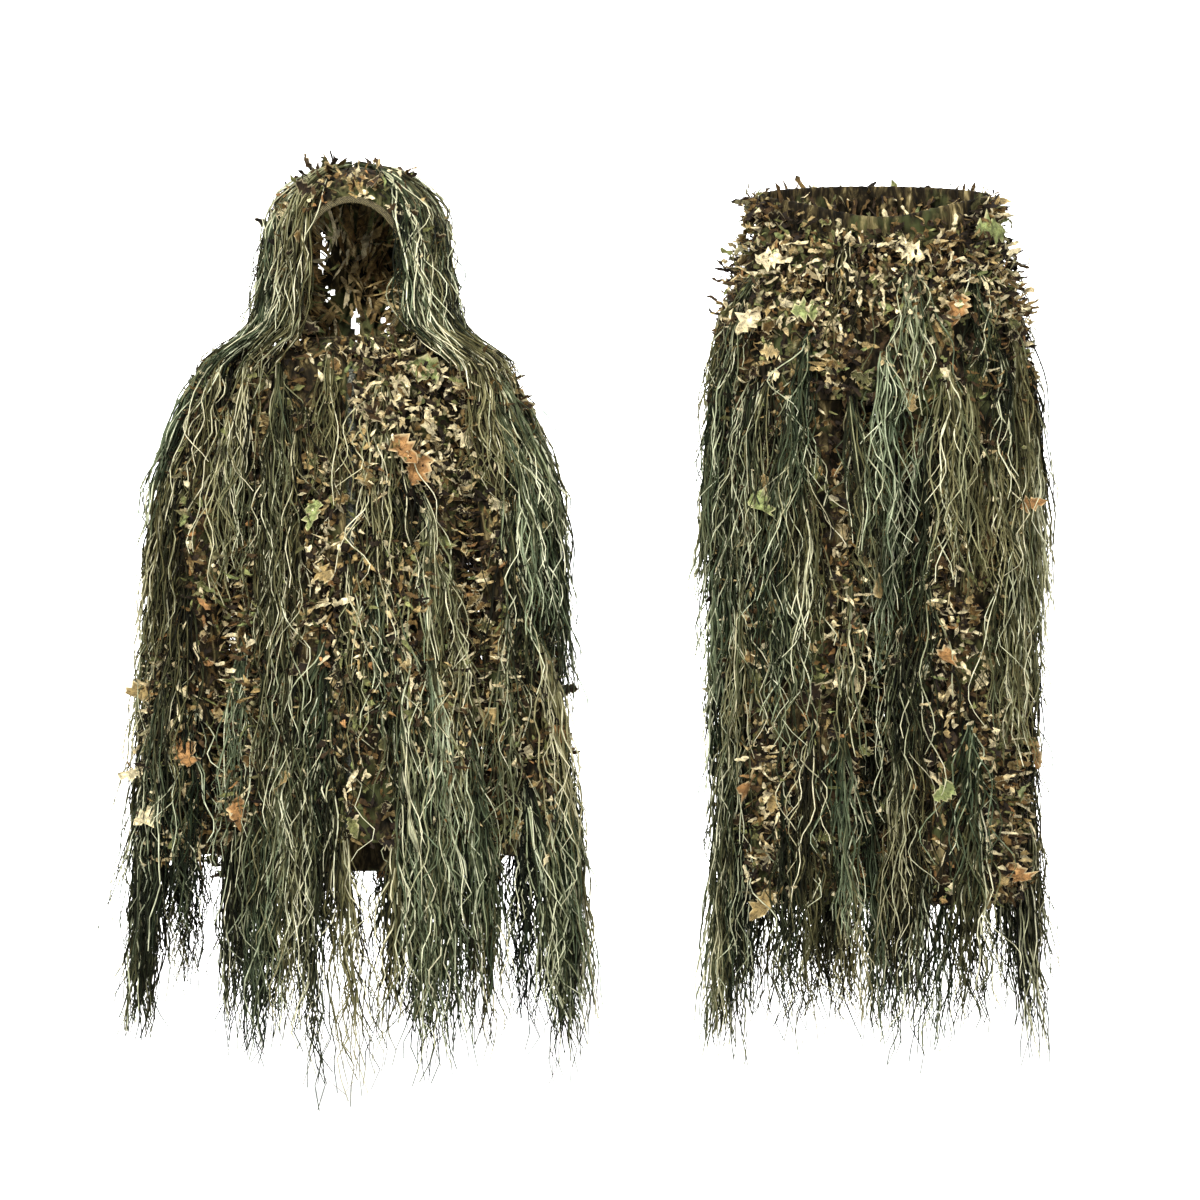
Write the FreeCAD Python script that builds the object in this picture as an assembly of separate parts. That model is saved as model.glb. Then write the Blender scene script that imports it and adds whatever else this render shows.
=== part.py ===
"""Two-piece ghillie suit: a hooded zip jacket and elastic-waist trousers, hung with yarn tufts.

Millimetres, +Z up, the wearer faces -Y. The origin is the centre of the jacket's neck ring, where the
wearer's or a hanger's shoulders hold it; the trousers hang beside it on +X. Right and left are the wearer's,
so right is -X. Every cloth surface is a stack of ellipses, and each tuft is a shingle that hangs down it.
"""
import FreeCAD, Part
import math
import os

V = FreeCAD.Vector

# ---------------------------------------------------------------- driving dimensions
CLOTH = 5.0                 # cloth with its leaf layer
SEAM = 0.4                  # gap between neighbouring pieces
LOW, HIGH = -1400.0, 400.0  # well past the suit, for cutting tools

SHOULDER_Z, ARMPIT_Z = -28.0, -225.0
BACK_HEM_Z, FRONT_HEM_Z = -808.0, -745.0
CUFF_Z = -770.0
SEAM_X = 170.0                        # the armhole seams lie in the two planes x = +-SEAM_X
ARMHOLE_RADIUS = 62.0

HOOD_FOOT_Z = 6.0
FACE_CENTRE_Z, FACE_HALF_WIDTH, FACE_HALF_HEIGHT = 93.0, 80.0, 105.0
BINDING = 9.0                         # width of the hood's face binding
HOOD_SEAM_X = 46.0                    # the hood's centre panel is twice this wide

TROUSERS_X = 779.0
WAIST_Z, BAND_HEIGHT, WAIST_TILT = 176.0, 44.0, 13.0
CROTCH_Z, LEG_HEM_Z = -95.0, -840.0

# stations: height, centre x, centre y, half width, half depth, from the top down
TORSO = [
    (0.0, 0, 0, 78, 62),
    (SHOULDER_Z, 0, 0, 215, 96),
    (ARMPIT_Z, 0, 0, 158, 109.6),
    (BACK_HEM_Z, 0, 0, 205, 150),
]
FRONT_SLOPE = (150.0 - 96.0) / (SHOULDER_Z - BACK_HEM_Z)   # the zip's line leans out this much per drop
SLEEVE = [
    (-26.0, 182, 0, 18, 20),
    (-62.0, 192, 0, 40, 50),
    (-110.0, 196, 0, 54, 65),
    (ARMPIT_Z, 226, 0, 52, 61),
    (CUFF_Z, 258, 0, 48, 49),
]
HOOD = [
    (256.0, 0, 4, 26, 24),
    (240.0, 0, 6, 62, 60),
    (199.0, 0, 8, 98, 96),
    (125.0, 0, 10, 120, 118),
    (50.0, 0, 4, 128, 108),
    (HOOD_FOOT_Z, 0, 0, 102, 86),
]
PELVIS = [
    (260.0, 0, 0, 160, 104),
    (176.0, 0, 0, 172, 110),
    (40.0, 0, 0, 216, 130),
    (CROTCH_Z, 0, 0, 226, 135),
]
LEG = [
    (CROTCH_Z - SEAM, 113.5, 0, 112, 111),
    (LEG_HEM_Z, 118, 0, 96, 95),
]

WAIST_ROW = (0.0, 0, 0, 172, 113)      # the waistband's oval, before it is tilted
CASING_DEPTH, CASING_SLOT, CASING_HEM = 7.0, (2.2, 4.8), 5.0
WAIST_ELASTIC, ELASTIC_SHORT = (2.6, 4.4), 6.0

NECK_BAND = (-14.0, 3.0, 3.0)          # foot, top and thickness
LOOP_HALF_CHORD, LOOP_BOW, LOOP_Y = 27.0, 13.0, 47.6
LOOP_TAPE, LOOP_HEIGHT, LOOP_Z = 1.6, 8.0, -12.0
CUFF_BAND, ANKLE_BAND = (4.0, 20.0), (4.0, 22.0)   # distance up from the hem, and height
BAND_THICK, CUFF_CLEAR, ANKLE_CLEAR = 2.0, 1.6, 2.0
GUSSET_HALF_WIDTH, GUSSET_HALF_LENGTH, GUSSET_THICK = 34.0, 96.0, 4.0

# zip, in its own axes: x across, y back from the cloth's face, z up the front's lean from the zip's top
ZIP_GAP = 14.0
ZIP_TOP_Z, ZIP_LENGTH = -38.0, 690.0
ZIP_LEAN = -math.degrees(math.atan(FRONT_SLOPE))
TAPE_Y, TAPE_THICK, TAPE_EDGE, TAPE_WIDTH = 6.4, 0.8, 1.3, 15.0
TOOTH_START, TOOTH_PITCH, TOOTH_LENGTH, TOOTH_REACH, TOOTH_ROOT = 8.0, 5.0, 2.1, 1.2, 3.6
TOOTH_Y0, TOOTH_Y1, CHAIN_SHORT = 5.2, 8.4, 24.0
MOULD_GAP = 0.05                       # clearance between a moulded part and the tape
STOP_X, STOP_WIDTH, STOP_Z = 2.6, 2.2, (-4.6, -1.6)
END_HALF_WIDTH, END_HEIGHT, END_FOOT, PIN_X = 5.6, 9.0, 10.0, (1.5, 3.3)
SLIDER_REST, SLIDER_LENGTH, SLIDER_HALF, REAR_HALF = 6.0, 16.0, 6.4, 4.6
WING_Y, RAIL_Y, REAR_Y = (2.6, 4.2), (4.0, 5.9), (8.9, 10.1)
RAIL_X, RAIL_WIDTH, POST_X, POST_WIDTH, POST_Y = 5.4, 1.8, 3.2, 1.2, (-3.6, 2.8)
BAIL_RADIUS, PULL_PIVOT_Y, PULL_PIVOT_S = 0.8, -2.6, 13.0
EYE_RADIUS, EYE_HALF, EYE_BORE = 2.1, 2.3, 0.9
TAB_HALF, TAB_THICK, TAB_START, TAB_END = 4.2, 1.6, 10.0, 36.0
RIB_HALF, RIB_THICK, RIB_HEIGHT, RIB_DROPS = 3.4, 2.6, 1.2, (20.0, 25.0, 30.0)

# tufts: how the yarn stands off the cloth as it hangs
ROOT_GAP, FLARE = 1.5, 0.1
ROOT_THICK, TIP_THICK = 6.0, 13.0
ROOT_WIDTH, TIP_WIDTH = 18.0, 54.0
BACK_WIDTH, HOOD_WIDTH, HOOD_FLARE = 50.0, 44.0, 0.075

# rows of tufts: height of the roots, length, and how much the length differs along the row
BODY_ROWS = [(-62, 290, 20), (-205, 300, 24), (-350, 300, 24), (-495, 330, 30), (-640, 385, 45)]
SLEEVE_ROWS = [(-76, 270, 20), (-205, 300, 24), (-350, 300, 24), (-495, 320, 30), (-640, 370, 45)]
HOOD_ROWS = [(226, 170, 0), (100, 74, 0)]
HIP_ROWS = [(128, 270, 20), (-10, 285, 24)]
LEG_ROWS = [(-170, 290, 20), (-320, 300, 24), (-470, 300, 24), (-610, 330, 30), (-745, 320, 45)]

# angles of the tufts round each surface, from the front towards the garment's side
FRONT_ANGLES, BACK_ANGLES = (14.5, 38), (171.5, 152, 132)
SLEEVE_ANGLES, HOOD_ANGLES = (14, 54, 90, 126, 166), (66, 93, 120, 147)
HIP_ANGLES, LEG_ANGLES = (13, 40, 74, 106, 140, 167), (-25, 20, 65, 110, 155, 200)


# ---------------------------------------------------------------- cloth surfaces
def station_at(stack, z):
    """Centre x, centre y, half width and half depth of a stack at height z, straight between stations."""
    if z >= stack[0][0]:
        return stack[0][1:]
    for upper, lower in zip(stack, stack[1:]):
        if z >= lower[0]:
            share = (upper[0] - z) / (upper[0] - lower[0])
            return tuple(u + (v - u) * share for u, v in zip(upper[1:], lower[1:]))
    return stack[-1][1:]


def mirrored(stack):
    """The same stack on the other side of x = 0."""
    return [(z, -cx, cy, a, b) for z, cx, cy, a, b in stack]


def ellipse_wire(z, cx, cy, a, b):
    """A level ellipse that starts on its longer axis, so a stack keeps one axis longer from end to end."""
    centre = V(cx, cy, z)
    wide, deep = V(a, 0, 0), V(0, b, 0)
    ends = (wide, deep) if a >= b else (deep, V(-a, 0, 0))
    ring = Part.Ellipse(centre + ends[0], centre + ends[1], centre)
    return Part.Wire([ring.toShape()])


def stack_solid(stack, grow=0.0, drop=0.0):
    """The solid inside a stack of ellipses, grown sideways and lowered."""
    wires = [ellipse_wire(z - drop, cx, cy, a + grow, b + grow) for z, cx, cy, a, b in stack]
    return Part.makeLoft(wires, True, True)


def tube(stack, open_top=True, wall=CLOTH):
    """Cloth of a stack: its solid less one that is a wall smaller and lower, open below and maybe above."""
    head, foot = stack[0], stack[-1]
    hollow = stack_solid(stack, -wall, wall)
    hollow = hollow.fuse(stack_solid([foot, (LOW, *foot[1:])], -wall, wall))
    if open_top:
        hollow = hollow.fuse(stack_solid([(HIGH, *head[1:]), (head[0] - wall, *head[1:])], -wall))
    return stack_solid(stack).cut(hollow)


def block(x0, x1, y0, y1, z0, z1):
    return Part.makeBox(x1 - x0, y1 - y0, z1 - z0, V(x0, y0, z0))


def tilted_half(height, depth_at_front, side):
    """Everything above (side 1) or below (side -1) a plane through (y 0, z height), lower at the front."""
    slab = block(-400, 400, -400, 400, 0, 900) if side > 0 else block(-400, 400, -400, 400, -1700, 0)
    slab.rotate(V(0, 0, 0), V(1, 0, 0), depth_at_front)
    slab.translate(V(0, 0, height))
    return slab


def oval_along_y(cx, cz, half_x, half_z, y0, y1):
    """An elliptic cylinder along Y, taller than it is wide."""
    centre = V(cx, y0, cz)
    ring = Part.Ellipse(centre + V(0, 0, half_z), centre + V(half_x, 0, 0), centre)
    face = Part.Face(Part.Wire([ring.toShape()]))
    return face.extrude(V(0, y1 - y0, 0))


# ---------------------------------------------------------------- armholes
def armhole_cutter(side):
    """What an armhole takes out of the jacket body: all past the seam plane, and the arm's way through."""
    x0, x1 = sorted((side * SEAM_X, side * 500))
    past = block(x0, x1, -300, 300, ARMPIT_Z, 300)
    return past.fuse(Part.makeCylinder(ARMHOLE_RADIUS, 130, V(side * 110, 0, -120), V(side, 0, 0)))


# ---------------------------------------------------------------- jacket
def jacket_panels():
    body = tube(TORSO)
    for side in (-1, 1):
        body = body.cut(armhole_cutter(side))
    half = ZIP_GAP / 2
    front = body.common(block(-400, 400, -400, -SEAM / 2, FRONT_HEM_Z, HIGH))
    return {
        "front_panel_right": front.common(block(-400, -half, -400, 0, LOW, HIGH)),
        "front_panel_left": front.common(block(half, 400, -400, 0, LOW, HIGH)),
        "back_panel": body.common(block(-400, 400, SEAM / 2, 400, LOW, HIGH)),
    }


def ring(stack_row, z0, z1, outer, inner):
    """A band between two ellipses grown from one station."""
    _, cx, cy, a, b = stack_row
    outside = stack_solid([(z1, cx, cy, a, b), (z0, cx, cy, a, b)], outer)
    return outside.cut(stack_solid([(z1 + 1, cx, cy, a, b), (z0 - 1, cx, cy, a, b)], inner))


def neck_binding():
    """The bound edge inside the neck, open at the front where the zip is."""
    foot, top, thick = NECK_BAND
    band = ring(TORSO[0], foot, top, -CLOTH - SEAM, -CLOTH - SEAM - thick)
    return band.cut(block(-ZIP_GAP / 2, ZIP_GAP / 2, -400, 0, LOW, HIGH))


def hanger_loop():
    """A strip across the back of the neck, bowed forward so that a hook fits behind it."""
    wires = []
    for grow in (0.0, LOOP_TAPE):
        ends = [V(-LOOP_HALF_CHORD - grow, LOOP_Y, 0), V(LOOP_HALF_CHORD + grow, LOOP_Y, 0)]
        wires.append(Part.Arc(ends[0], V(0, LOOP_Y - LOOP_BOW - grow, 0), ends[1]).toShape())
    (a0, a1), (b0, b1) = [[w.valueAt(w.FirstParameter), w.valueAt(w.LastParameter)] for w in wires]
    edges = [wires[0], Part.makeLine(a1, b1), wires[1], Part.makeLine(b0, a0)]
    face = Part.Face(Part.Wire(Part.__sortEdges__(edges)))
    strip = face.extrude(V(0, 0, LOOP_HEIGHT))
    strip.translate(V(0, 0, LOOP_Z))
    return strip


# ---------------------------------------------------------------- zip
def zip_front_y(z):
    return -(TORSO[1][4] + FRONT_SLOPE * (SHOULDER_Z - z))


def on_zip(shape):
    """Carries a shape from the zip's own axes to the jacket."""
    shape.rotate(V(0, 0, 0), V(1, 0, 0), ZIP_LEAN)
    shape.translate(V(0, zip_front_y(ZIP_TOP_Z), ZIP_TOP_Z))
    return shape


def zip_tape(side):
    """A woven tape with the thicker cord edge that the teeth are moulded on."""
    x0, x1 = sorted((side * TAPE_EDGE, side * TAPE_WIDTH))
    return on_zip(block(x0, x1, TAPE_Y, TAPE_Y + TAPE_THICK, -ZIP_LENGTH, 0))


def zip_teeth(side):
    """One moulded tooth each pitch, above and below the tape, and reaching past the centre line."""
    teeth = []
    start = TOOTH_START + (TOOTH_PITCH / 2 if side > 0 else 0.0)
    count = int((ZIP_LENGTH - CHAIN_SHORT) / TOOTH_PITCH)
    neck = TAPE_EDGE - 2 * MOULD_GAP
    for k in range(count):
        s = -(start + k * TOOTH_PITCH)
        x0, x1 = sorted((-side * TOOTH_REACH, side * neck))
        head = block(x0, x1, TOOTH_Y0, TOOTH_Y1, s - TOOTH_LENGTH, s)
        x0, x1 = sorted((side * neck, side * TOOTH_ROOT))
        front = block(x0, x1, TOOTH_Y0, TAPE_Y - MOULD_GAP, s - TOOTH_LENGTH, s)
        rear = block(x0, x1, TAPE_Y + TAPE_THICK + MOULD_GAP, TOOTH_Y1, s - TOOTH_LENGTH, s)
        tooth = head.fuse([front, rear]).removeSplitter()
        teeth.append(tooth)
    return on_zip(Part.makeCompound(teeth))


def zip_top_stops():
    half = STOP_WIDTH / 2
    stops = []
    for side in (-1, 1):
        middle = side * STOP_X
        front, back = TAPE_Y - 2 * TAPE_THICK, TAPE_Y - MOULD_GAP
        stops.append(block(middle - half, middle + half, front, back, *STOP_Z))
    return on_zip(Part.makeCompound(stops))


def zip_end_box():
    top = END_FOOT - ZIP_LENGTH
    front = TOOTH_Y0 - (TAPE_THICK - MOULD_GAP)
    return on_zip(block(-END_HALF_WIDTH, END_HALF_WIDTH, front, TAPE_Y - MOULD_GAP, top - END_HEIGHT, top))


def zip_end_pin():
    top = END_FOOT - ZIP_LENGTH
    behind = TAPE_Y + TAPE_THICK
    return on_zip(block(*PIN_X, behind + MOULD_GAP, behind + 2 * TAPE_THICK, top - END_HEIGHT, top))


def zip_slider():
    """Front wing with side rails and a bail for the pull, and the rear wing behind the chain."""
    top, foot = -SLIDER_REST, -SLIDER_REST - SLIDER_LENGTH
    wing = block(-SLIDER_HALF, SLIDER_HALF, *WING_Y, foot, top)
    for side in (-1, 1):
        rail, post = side * RAIL_X, side * POST_X
        wing = wing.fuse(block(rail - RAIL_WIDTH / 2, rail + RAIL_WIDTH / 2, *RAIL_Y, foot, top))
        wing = wing.fuse(block(post - POST_WIDTH / 2, post + POST_WIDTH / 2, *POST_Y,
                               -PULL_PIVOT_S - POST_WIDTH, -PULL_PIVOT_S + POST_WIDTH))
    bar = Part.makeCylinder(BAIL_RADIUS, 2 * POST_X, V(-POST_X, PULL_PIVOT_Y, -PULL_PIVOT_S), V(1, 0, 0))
    front = wing.fuse(bar).removeSplitter()
    rear = block(-REAR_HALF, REAR_HALF, *REAR_Y, foot, top)
    return on_zip(Part.makeCompound([front, rear]))


def pull_plate(half_width, thick, first, last):
    """A plate of the pull, in the plane of its pivot, between two distances below it."""
    y0, y1 = PULL_PIVOT_Y - thick / 2, PULL_PIVOT_Y + thick / 2
    return block(-half_width, half_width, y0, y1, -PULL_PIVOT_S - last, -PULL_PIVOT_S - first)


def zip_pull():
    """A flat tab with an eye round the slider's bail, widening to a ribbed grip."""
    start = V(-EYE_HALF, PULL_PIVOT_Y, -PULL_PIVOT_S)
    made = Part.makeCylinder(EYE_RADIUS, 2 * EYE_HALF, start, V(1, 0, 0))
    made = made.fuse(pull_plate(EYE_HALF, TAB_THICK, 0.0, TAB_START + POST_WIDTH))
    made = made.fuse(pull_plate(TAB_HALF, TAB_THICK, TAB_START, TAB_END))
    for drop in RIB_DROPS:
        made = made.fuse(pull_plate(RIB_HALF, RIB_THICK, drop, drop + RIB_HEIGHT))
    bore = Part.makeCylinder(EYE_BORE, 2 * EYE_HALF, start, V(1, 0, 0))
    return on_zip(made.cut(bore).removeSplitter())


# ---------------------------------------------------------------- sleeves
def sleeve(side):
    stack = SLEEVE if side > 0 else mirrored(SLEEVE)
    x0, x1 = sorted((0.0, side * (SEAM_X + SEAM)))
    return tube(stack, open_top=False).cut(block(x0, x1, -300, 300, ARMPIT_Z, HIGH))


def cuff_elastic(side):
    row = SLEEVE[-1] if side > 0 else mirrored(SLEEVE)[-1]
    up, height = CUFF_BAND
    outside = CLOTH + CUFF_CLEAR
    return ring(row, CUFF_Z + up, CUFF_Z + up + height, -outside, -outside - BAND_THICK)


# ---------------------------------------------------------------- hood
def hood_panels():
    dome = tube(HOOD, open_top=False)
    reach = BINDING + SEAM
    face = oval_along_y(0, FACE_CENTRE_Z, FACE_HALF_WIDTH + reach, FACE_HALF_HEIGHT + reach, -200, -10)
    dome = dome.cut(face)
    return {
        "hood_side_right": dome.common(block(-300, -HOOD_SEAM_X - SEAM, -300, 300, LOW, HIGH)),
        "hood_side_left": dome.common(block(HOOD_SEAM_X + SEAM, 300, -300, 300, LOW, HIGH)),
        "hood_centre_panel": dome.common(block(-HOOD_SEAM_X, HOOD_SEAM_X, -300, 300, LOW, HIGH)),
    }


def hood_binding():
    """The elastic binding round the face opening, a little thicker than the cloth."""
    band = stack_solid(HOOD, 2.0).cut(stack_solid(HOOD[1:], -CLOTH - 2.0, CLOTH))
    band = band.common(oval_along_y(0, FACE_CENTRE_Z, FACE_HALF_WIDTH + BINDING,
                                    FACE_HALF_HEIGHT + BINDING, -200, -10))
    band = band.cut(oval_along_y(0, FACE_CENTRE_Z, FACE_HALF_WIDTH, FACE_HALF_HEIGHT, -201, -9))
    return band.common(block(-300, 300, -300, 300, HOOD_FOOT_Z + CLOTH, HIGH))


# ---------------------------------------------------------------- trousers, about their own x = 0
def trouser_shells():
    """Front and back of the seat, cut by the waist's slope so that the front sits lower."""
    seat = tube(PELVIS)
    seat = seat.common(tilted_half(WAIST_Z - SEAM, WAIST_TILT, -1))
    gusset_hole = block(-400, 400, -400, 400, LOW, CROTCH_Z)
    seat = seat.cut(gusset_hole)
    return {
        "seat_front": seat.common(block(-400, 400, -400, -SEAM / 2, LOW, HIGH)),
        "seat_back": seat.common(block(-400, 400, SEAM / 2, 400, LOW, HIGH)),
    }


def waistband(part):
    """The casing, a ring with a slot that is open below, or the elastic that lies in the slot."""
    if part == "elastic":
        outside, inside = WAIST_ELASTIC
        made = ring(WAIST_ROW, 1.0, BAND_HEIGHT - ELASTIC_SHORT, -outside, -inside)
    else:
        outside, inside = CASING_SLOT
        made = ring(WAIST_ROW, 0.0, BAND_HEIGHT, 0.0, -CASING_DEPTH)
        made = made.cut(ring(WAIST_ROW, -1.0, BAND_HEIGHT - CASING_HEM, -outside, -inside))
    made.rotate(V(0, 0, 0), V(1, 0, 0), WAIST_TILT)
    made.translate(V(0, 0, WAIST_Z))
    return made


def leg(side):
    stack = LEG if side > 0 else mirrored(LEG)
    return tube(stack)


def ankle_elastic(side):
    row = LEG[-1] if side > 0 else mirrored(LEG)[-1]
    up, height = ANKLE_BAND
    outside = CLOTH + ANKLE_CLEAR
    return ring(row, LEG_HEM_Z + up, LEG_HEM_Z + up + height, -outside, -outside - BAND_THICK)


def crotch_gusset():
    """The diamond that joins the two legs under the seat."""
    points = [V(0, -GUSSET_HALF_LENGTH, 0), V(GUSSET_HALF_WIDTH, 0, 0),
              V(0, GUSSET_HALF_LENGTH, 0), V(-GUSSET_HALF_WIDTH, 0, 0)]
    face = Part.Face(Part.makePolygon(points + [points[0]]))
    made = face.extrude(V(0, 0, GUSSET_THICK))
    made.translate(V(0, 0, CROTCH_Z + SEAM))
    return made


# ---------------------------------------------------------------- yarn tufts
def tuft(stack, angle, root_z, length, width, flare):
    """A shingle of hanging yarn: narrow and close to the cloth at its root, wide and stood off at its tip.

    Its sections are level rectangles, one at the root, the tip and each station between, and it never
    follows the cloth inwards, because yarn hangs plumb from the widest place it has passed.
    """
    turn = math.radians(angle)
    levels = [root_z] + [row[0] for row in stack if root_z > row[0] > root_z - length] + [root_z - length]
    widest_a, widest_b, wires = 0.0, 0.0, []
    for z in levels:
        cx, cy, a, b = station_at(stack, z)
        widest_a, widest_b = max(widest_a, a), max(widest_b, b)
        share = (root_z - z) / length
        at = V(cx + widest_a * math.sin(turn), cy - widest_b * math.cos(turn), z)
        out = V(widest_b * math.sin(turn), -widest_a * math.cos(turn), 0).normalize()
        across = V(-out.y, out.x, 0)
        half = (ROOT_WIDTH + (width - ROOT_WIDTH) * math.sqrt(share)) / 2
        near = ROOT_GAP + flare * (root_z - z)
        far = near + ROOT_THICK + (TIP_THICK - ROOT_THICK) * share
        corners = [at + out * near - across * half, at + out * near + across * half,
                   at + out * far + across * half, at + out * far - across * half]
        wires.append(Part.makePolygon(corners + [corners[0]]))
    return Part.makeLoft(wires, True, True)


def uneven(row, column, swing):
    """A length change that differs from tuft to tuft, from -swing to swing."""
    return swing * math.sin(2.4 * row + 1.7 * column + 0.6 * row * column)


def tufts(stack, angles, rows, width=TIP_WIDTH, flare=FLARE):
    """Rows of tufts at the given angles, with uneven roots and tips."""
    made = []
    for r, (root_z, length, swing) in enumerate(rows):
        for c, angle in enumerate(angles):
            drop = uneven(r + 1, c + 1, 12.0)
            made.append(tuft(stack, angle, root_z - abs(drop), length + uneven(r, c, swing), width, flare))
    return Part.makeCompound(made)


def yarn_nodes():
    made = {}
    for side, name in ((-1, "right"), (1, "left")):
        def facing(angles):
            return [side * angle for angle in angles]
        arm = SLEEVE if side > 0 else mirrored(SLEEVE)
        shank = LEG if side > 0 else mirrored(LEG)
        made["front_yarn_" + name] = tufts(TORSO, facing(FRONT_ANGLES), BODY_ROWS)
        made["back_yarn_" + name] = tufts(TORSO, facing(BACK_ANGLES), BODY_ROWS, width=BACK_WIDTH)
        made["sleeve_yarn_" + name] = tufts(arm, facing(SLEEVE_ANGLES), SLEEVE_ROWS)
        made["hood_yarn_" + name] = tufts(HOOD, facing(HOOD_ANGLES), HOOD_ROWS, HOOD_WIDTH, HOOD_FLARE)
        hip = tufts(PELVIS, facing(HIP_ANGLES), HIP_ROWS)
        below = tufts(shank, facing(LEG_ANGLES), LEG_ROWS)
        for shape in (hip, below):
            shape.translate(V(TROUSERS_X, 0, 0))
        made["hip_yarn_" + name] = hip
        made["leg_yarn_" + name] = below
    return made


# ---------------------------------------------------------------- assembly
def build():
    nodes = {}
    nodes.update(jacket_panels())
    nodes.update(hood_panels())
    nodes["neck_binding"] = neck_binding()
    nodes["hanger_loop"] = hanger_loop()
    nodes["hood_face_binding"] = hood_binding()
    nodes["zip_top_stops"] = zip_top_stops()
    nodes["zip_end_box"] = zip_end_box()
    nodes["zip_end_pin"] = zip_end_pin()
    nodes["zip_slider"] = zip_slider()
    nodes["zip_pull"] = zip_pull()
    trousers = trouser_shells()
    trousers["waistband_casing"] = waistband("casing")
    trousers["waist_elastic"] = waistband("elastic")
    trousers["crotch_gusset"] = crotch_gusset()
    for side, name in ((-1, "right"), (1, "left")):
        nodes["zip_tape_" + name] = zip_tape(side)
        nodes["zip_teeth_" + name] = zip_teeth(side)
        nodes["sleeve_" + name] = sleeve(side)
        nodes["cuff_elastic_" + name] = cuff_elastic(side)
        trousers["leg_" + name] = leg(side)
        trousers["ankle_elastic_" + name] = ankle_elastic(side)
    for name, shape in trousers.items():
        shape.translate(V(TROUSERS_X, 0, 0))
        nodes[name] = shape
    nodes.update(yarn_nodes())
    return nodes


def main():
    os.makedirs("parts", exist_ok=True)
    for name, shape in sorted(build().items()):
        solids = shape.Solids
        made = Part.makeCompound(solids) if len(solids) > 1 else solids[0]
        made.exportStep("parts/" + name + ".step")
        state = "ok" if shape.isValid() else "INVALID"
        print(f"{name}: {len(solids)} solids, {made.Volume / 1000:.1f} cm3, {state}")


main()
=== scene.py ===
"""Looks of a two-piece ghillie suit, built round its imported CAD: cloth, leaf flakes, yarn tufts and trim."""

import math

import bpy
import numpy as np
from bpy.props import FloatProperty, IntProperty, PointerProperty
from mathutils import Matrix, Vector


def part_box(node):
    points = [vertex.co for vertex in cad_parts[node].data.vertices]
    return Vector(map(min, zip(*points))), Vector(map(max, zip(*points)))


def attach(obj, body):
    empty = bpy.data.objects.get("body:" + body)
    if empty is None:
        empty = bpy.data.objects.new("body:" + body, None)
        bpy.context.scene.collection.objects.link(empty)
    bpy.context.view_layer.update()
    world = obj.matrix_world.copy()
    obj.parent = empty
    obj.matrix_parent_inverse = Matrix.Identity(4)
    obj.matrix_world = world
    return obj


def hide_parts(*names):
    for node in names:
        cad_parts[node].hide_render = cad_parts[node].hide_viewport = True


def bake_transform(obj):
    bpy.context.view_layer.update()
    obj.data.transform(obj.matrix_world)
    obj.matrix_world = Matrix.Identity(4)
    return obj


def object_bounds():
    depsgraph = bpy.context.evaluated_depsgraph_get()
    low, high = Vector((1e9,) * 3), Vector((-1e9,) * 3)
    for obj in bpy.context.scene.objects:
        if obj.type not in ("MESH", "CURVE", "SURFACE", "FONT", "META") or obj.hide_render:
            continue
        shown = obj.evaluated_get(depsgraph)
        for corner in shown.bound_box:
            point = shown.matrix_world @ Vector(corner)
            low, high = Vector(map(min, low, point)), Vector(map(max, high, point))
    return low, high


bl_info = {
    "name": "Ghillie suit",
    "version": (1, 0, 0),
    "blender": (4, 5, 0),
    "location": "3D View > Sidebar > Ghillie",
    "description": "Builds the cloth, leaf flakes, yarn and trim of a two-piece ghillie suit",
    "category": "Add Mesh",
}

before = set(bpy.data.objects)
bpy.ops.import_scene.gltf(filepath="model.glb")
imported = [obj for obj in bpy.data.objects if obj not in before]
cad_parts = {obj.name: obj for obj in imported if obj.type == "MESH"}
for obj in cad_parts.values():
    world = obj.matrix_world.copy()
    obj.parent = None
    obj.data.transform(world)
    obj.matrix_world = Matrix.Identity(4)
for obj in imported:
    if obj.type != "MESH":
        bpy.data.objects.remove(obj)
CAD_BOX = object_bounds()

# ------------------------------------------------------------------ places, in metres
CASING_LOW, CASING_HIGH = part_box("waistband_casing")
TROUSERS_X = (CASING_LOW.x + CASING_HIGH.x) / 2
SEAM_X = 0.170                  # the armhole seams' planes
SHOULDER_Z, ARMPIT_Z = -0.028, -0.225
BACK_HEM_Z, FRONT_HEM_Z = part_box("back_panel")[0].z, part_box("front_panel_left")[0].z
CUFF_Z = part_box("sleeve_left")[0].z
LEG_TOP_Z, LEG_HEM_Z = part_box("leg_left")[1].z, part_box("leg_left")[0].z
WAIST_Z, WAIST_TILT, BAND_HEIGHT = 0.176, math.radians(13), 0.044
FACE_Z, FACE_HALF_WIDTH, FACE_HALF_HEIGHT, BINDING = 0.093, 0.080, 0.105, 0.009
HOOD_SEAM_X, HOOD_FOOT_Z, CROWN_Z = 0.046, 0.006, 0.262
CROWN_FOOT_Z, CROWN_HALF_WIDTH, CROWN_HALF_DEPTH = 0.125, 0.120, 0.117
ZIP_HALF_GAP = 0.007
BENDS = {"hood": ((0, 0, HOOD_FOOT_Z), (0, 0, 0.140))}    # two points for the hood; a piece with a bend is baked in place instead of joining its body

# the waist's half depths: its casing and band, the cloth's rim, the flakes at it, and the two rows of its rim
CASING_HALF_WIDTH, CASING_HALF_DEPTH = 0.1685, 0.1095
RIM_HALF_DEPTH, FLAKED_HALF_DEPTH, SPIKED_HALF_DEPTH, LINED_HALF_DEPTH = 0.110, 0.111, 0.113, 0.105

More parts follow.
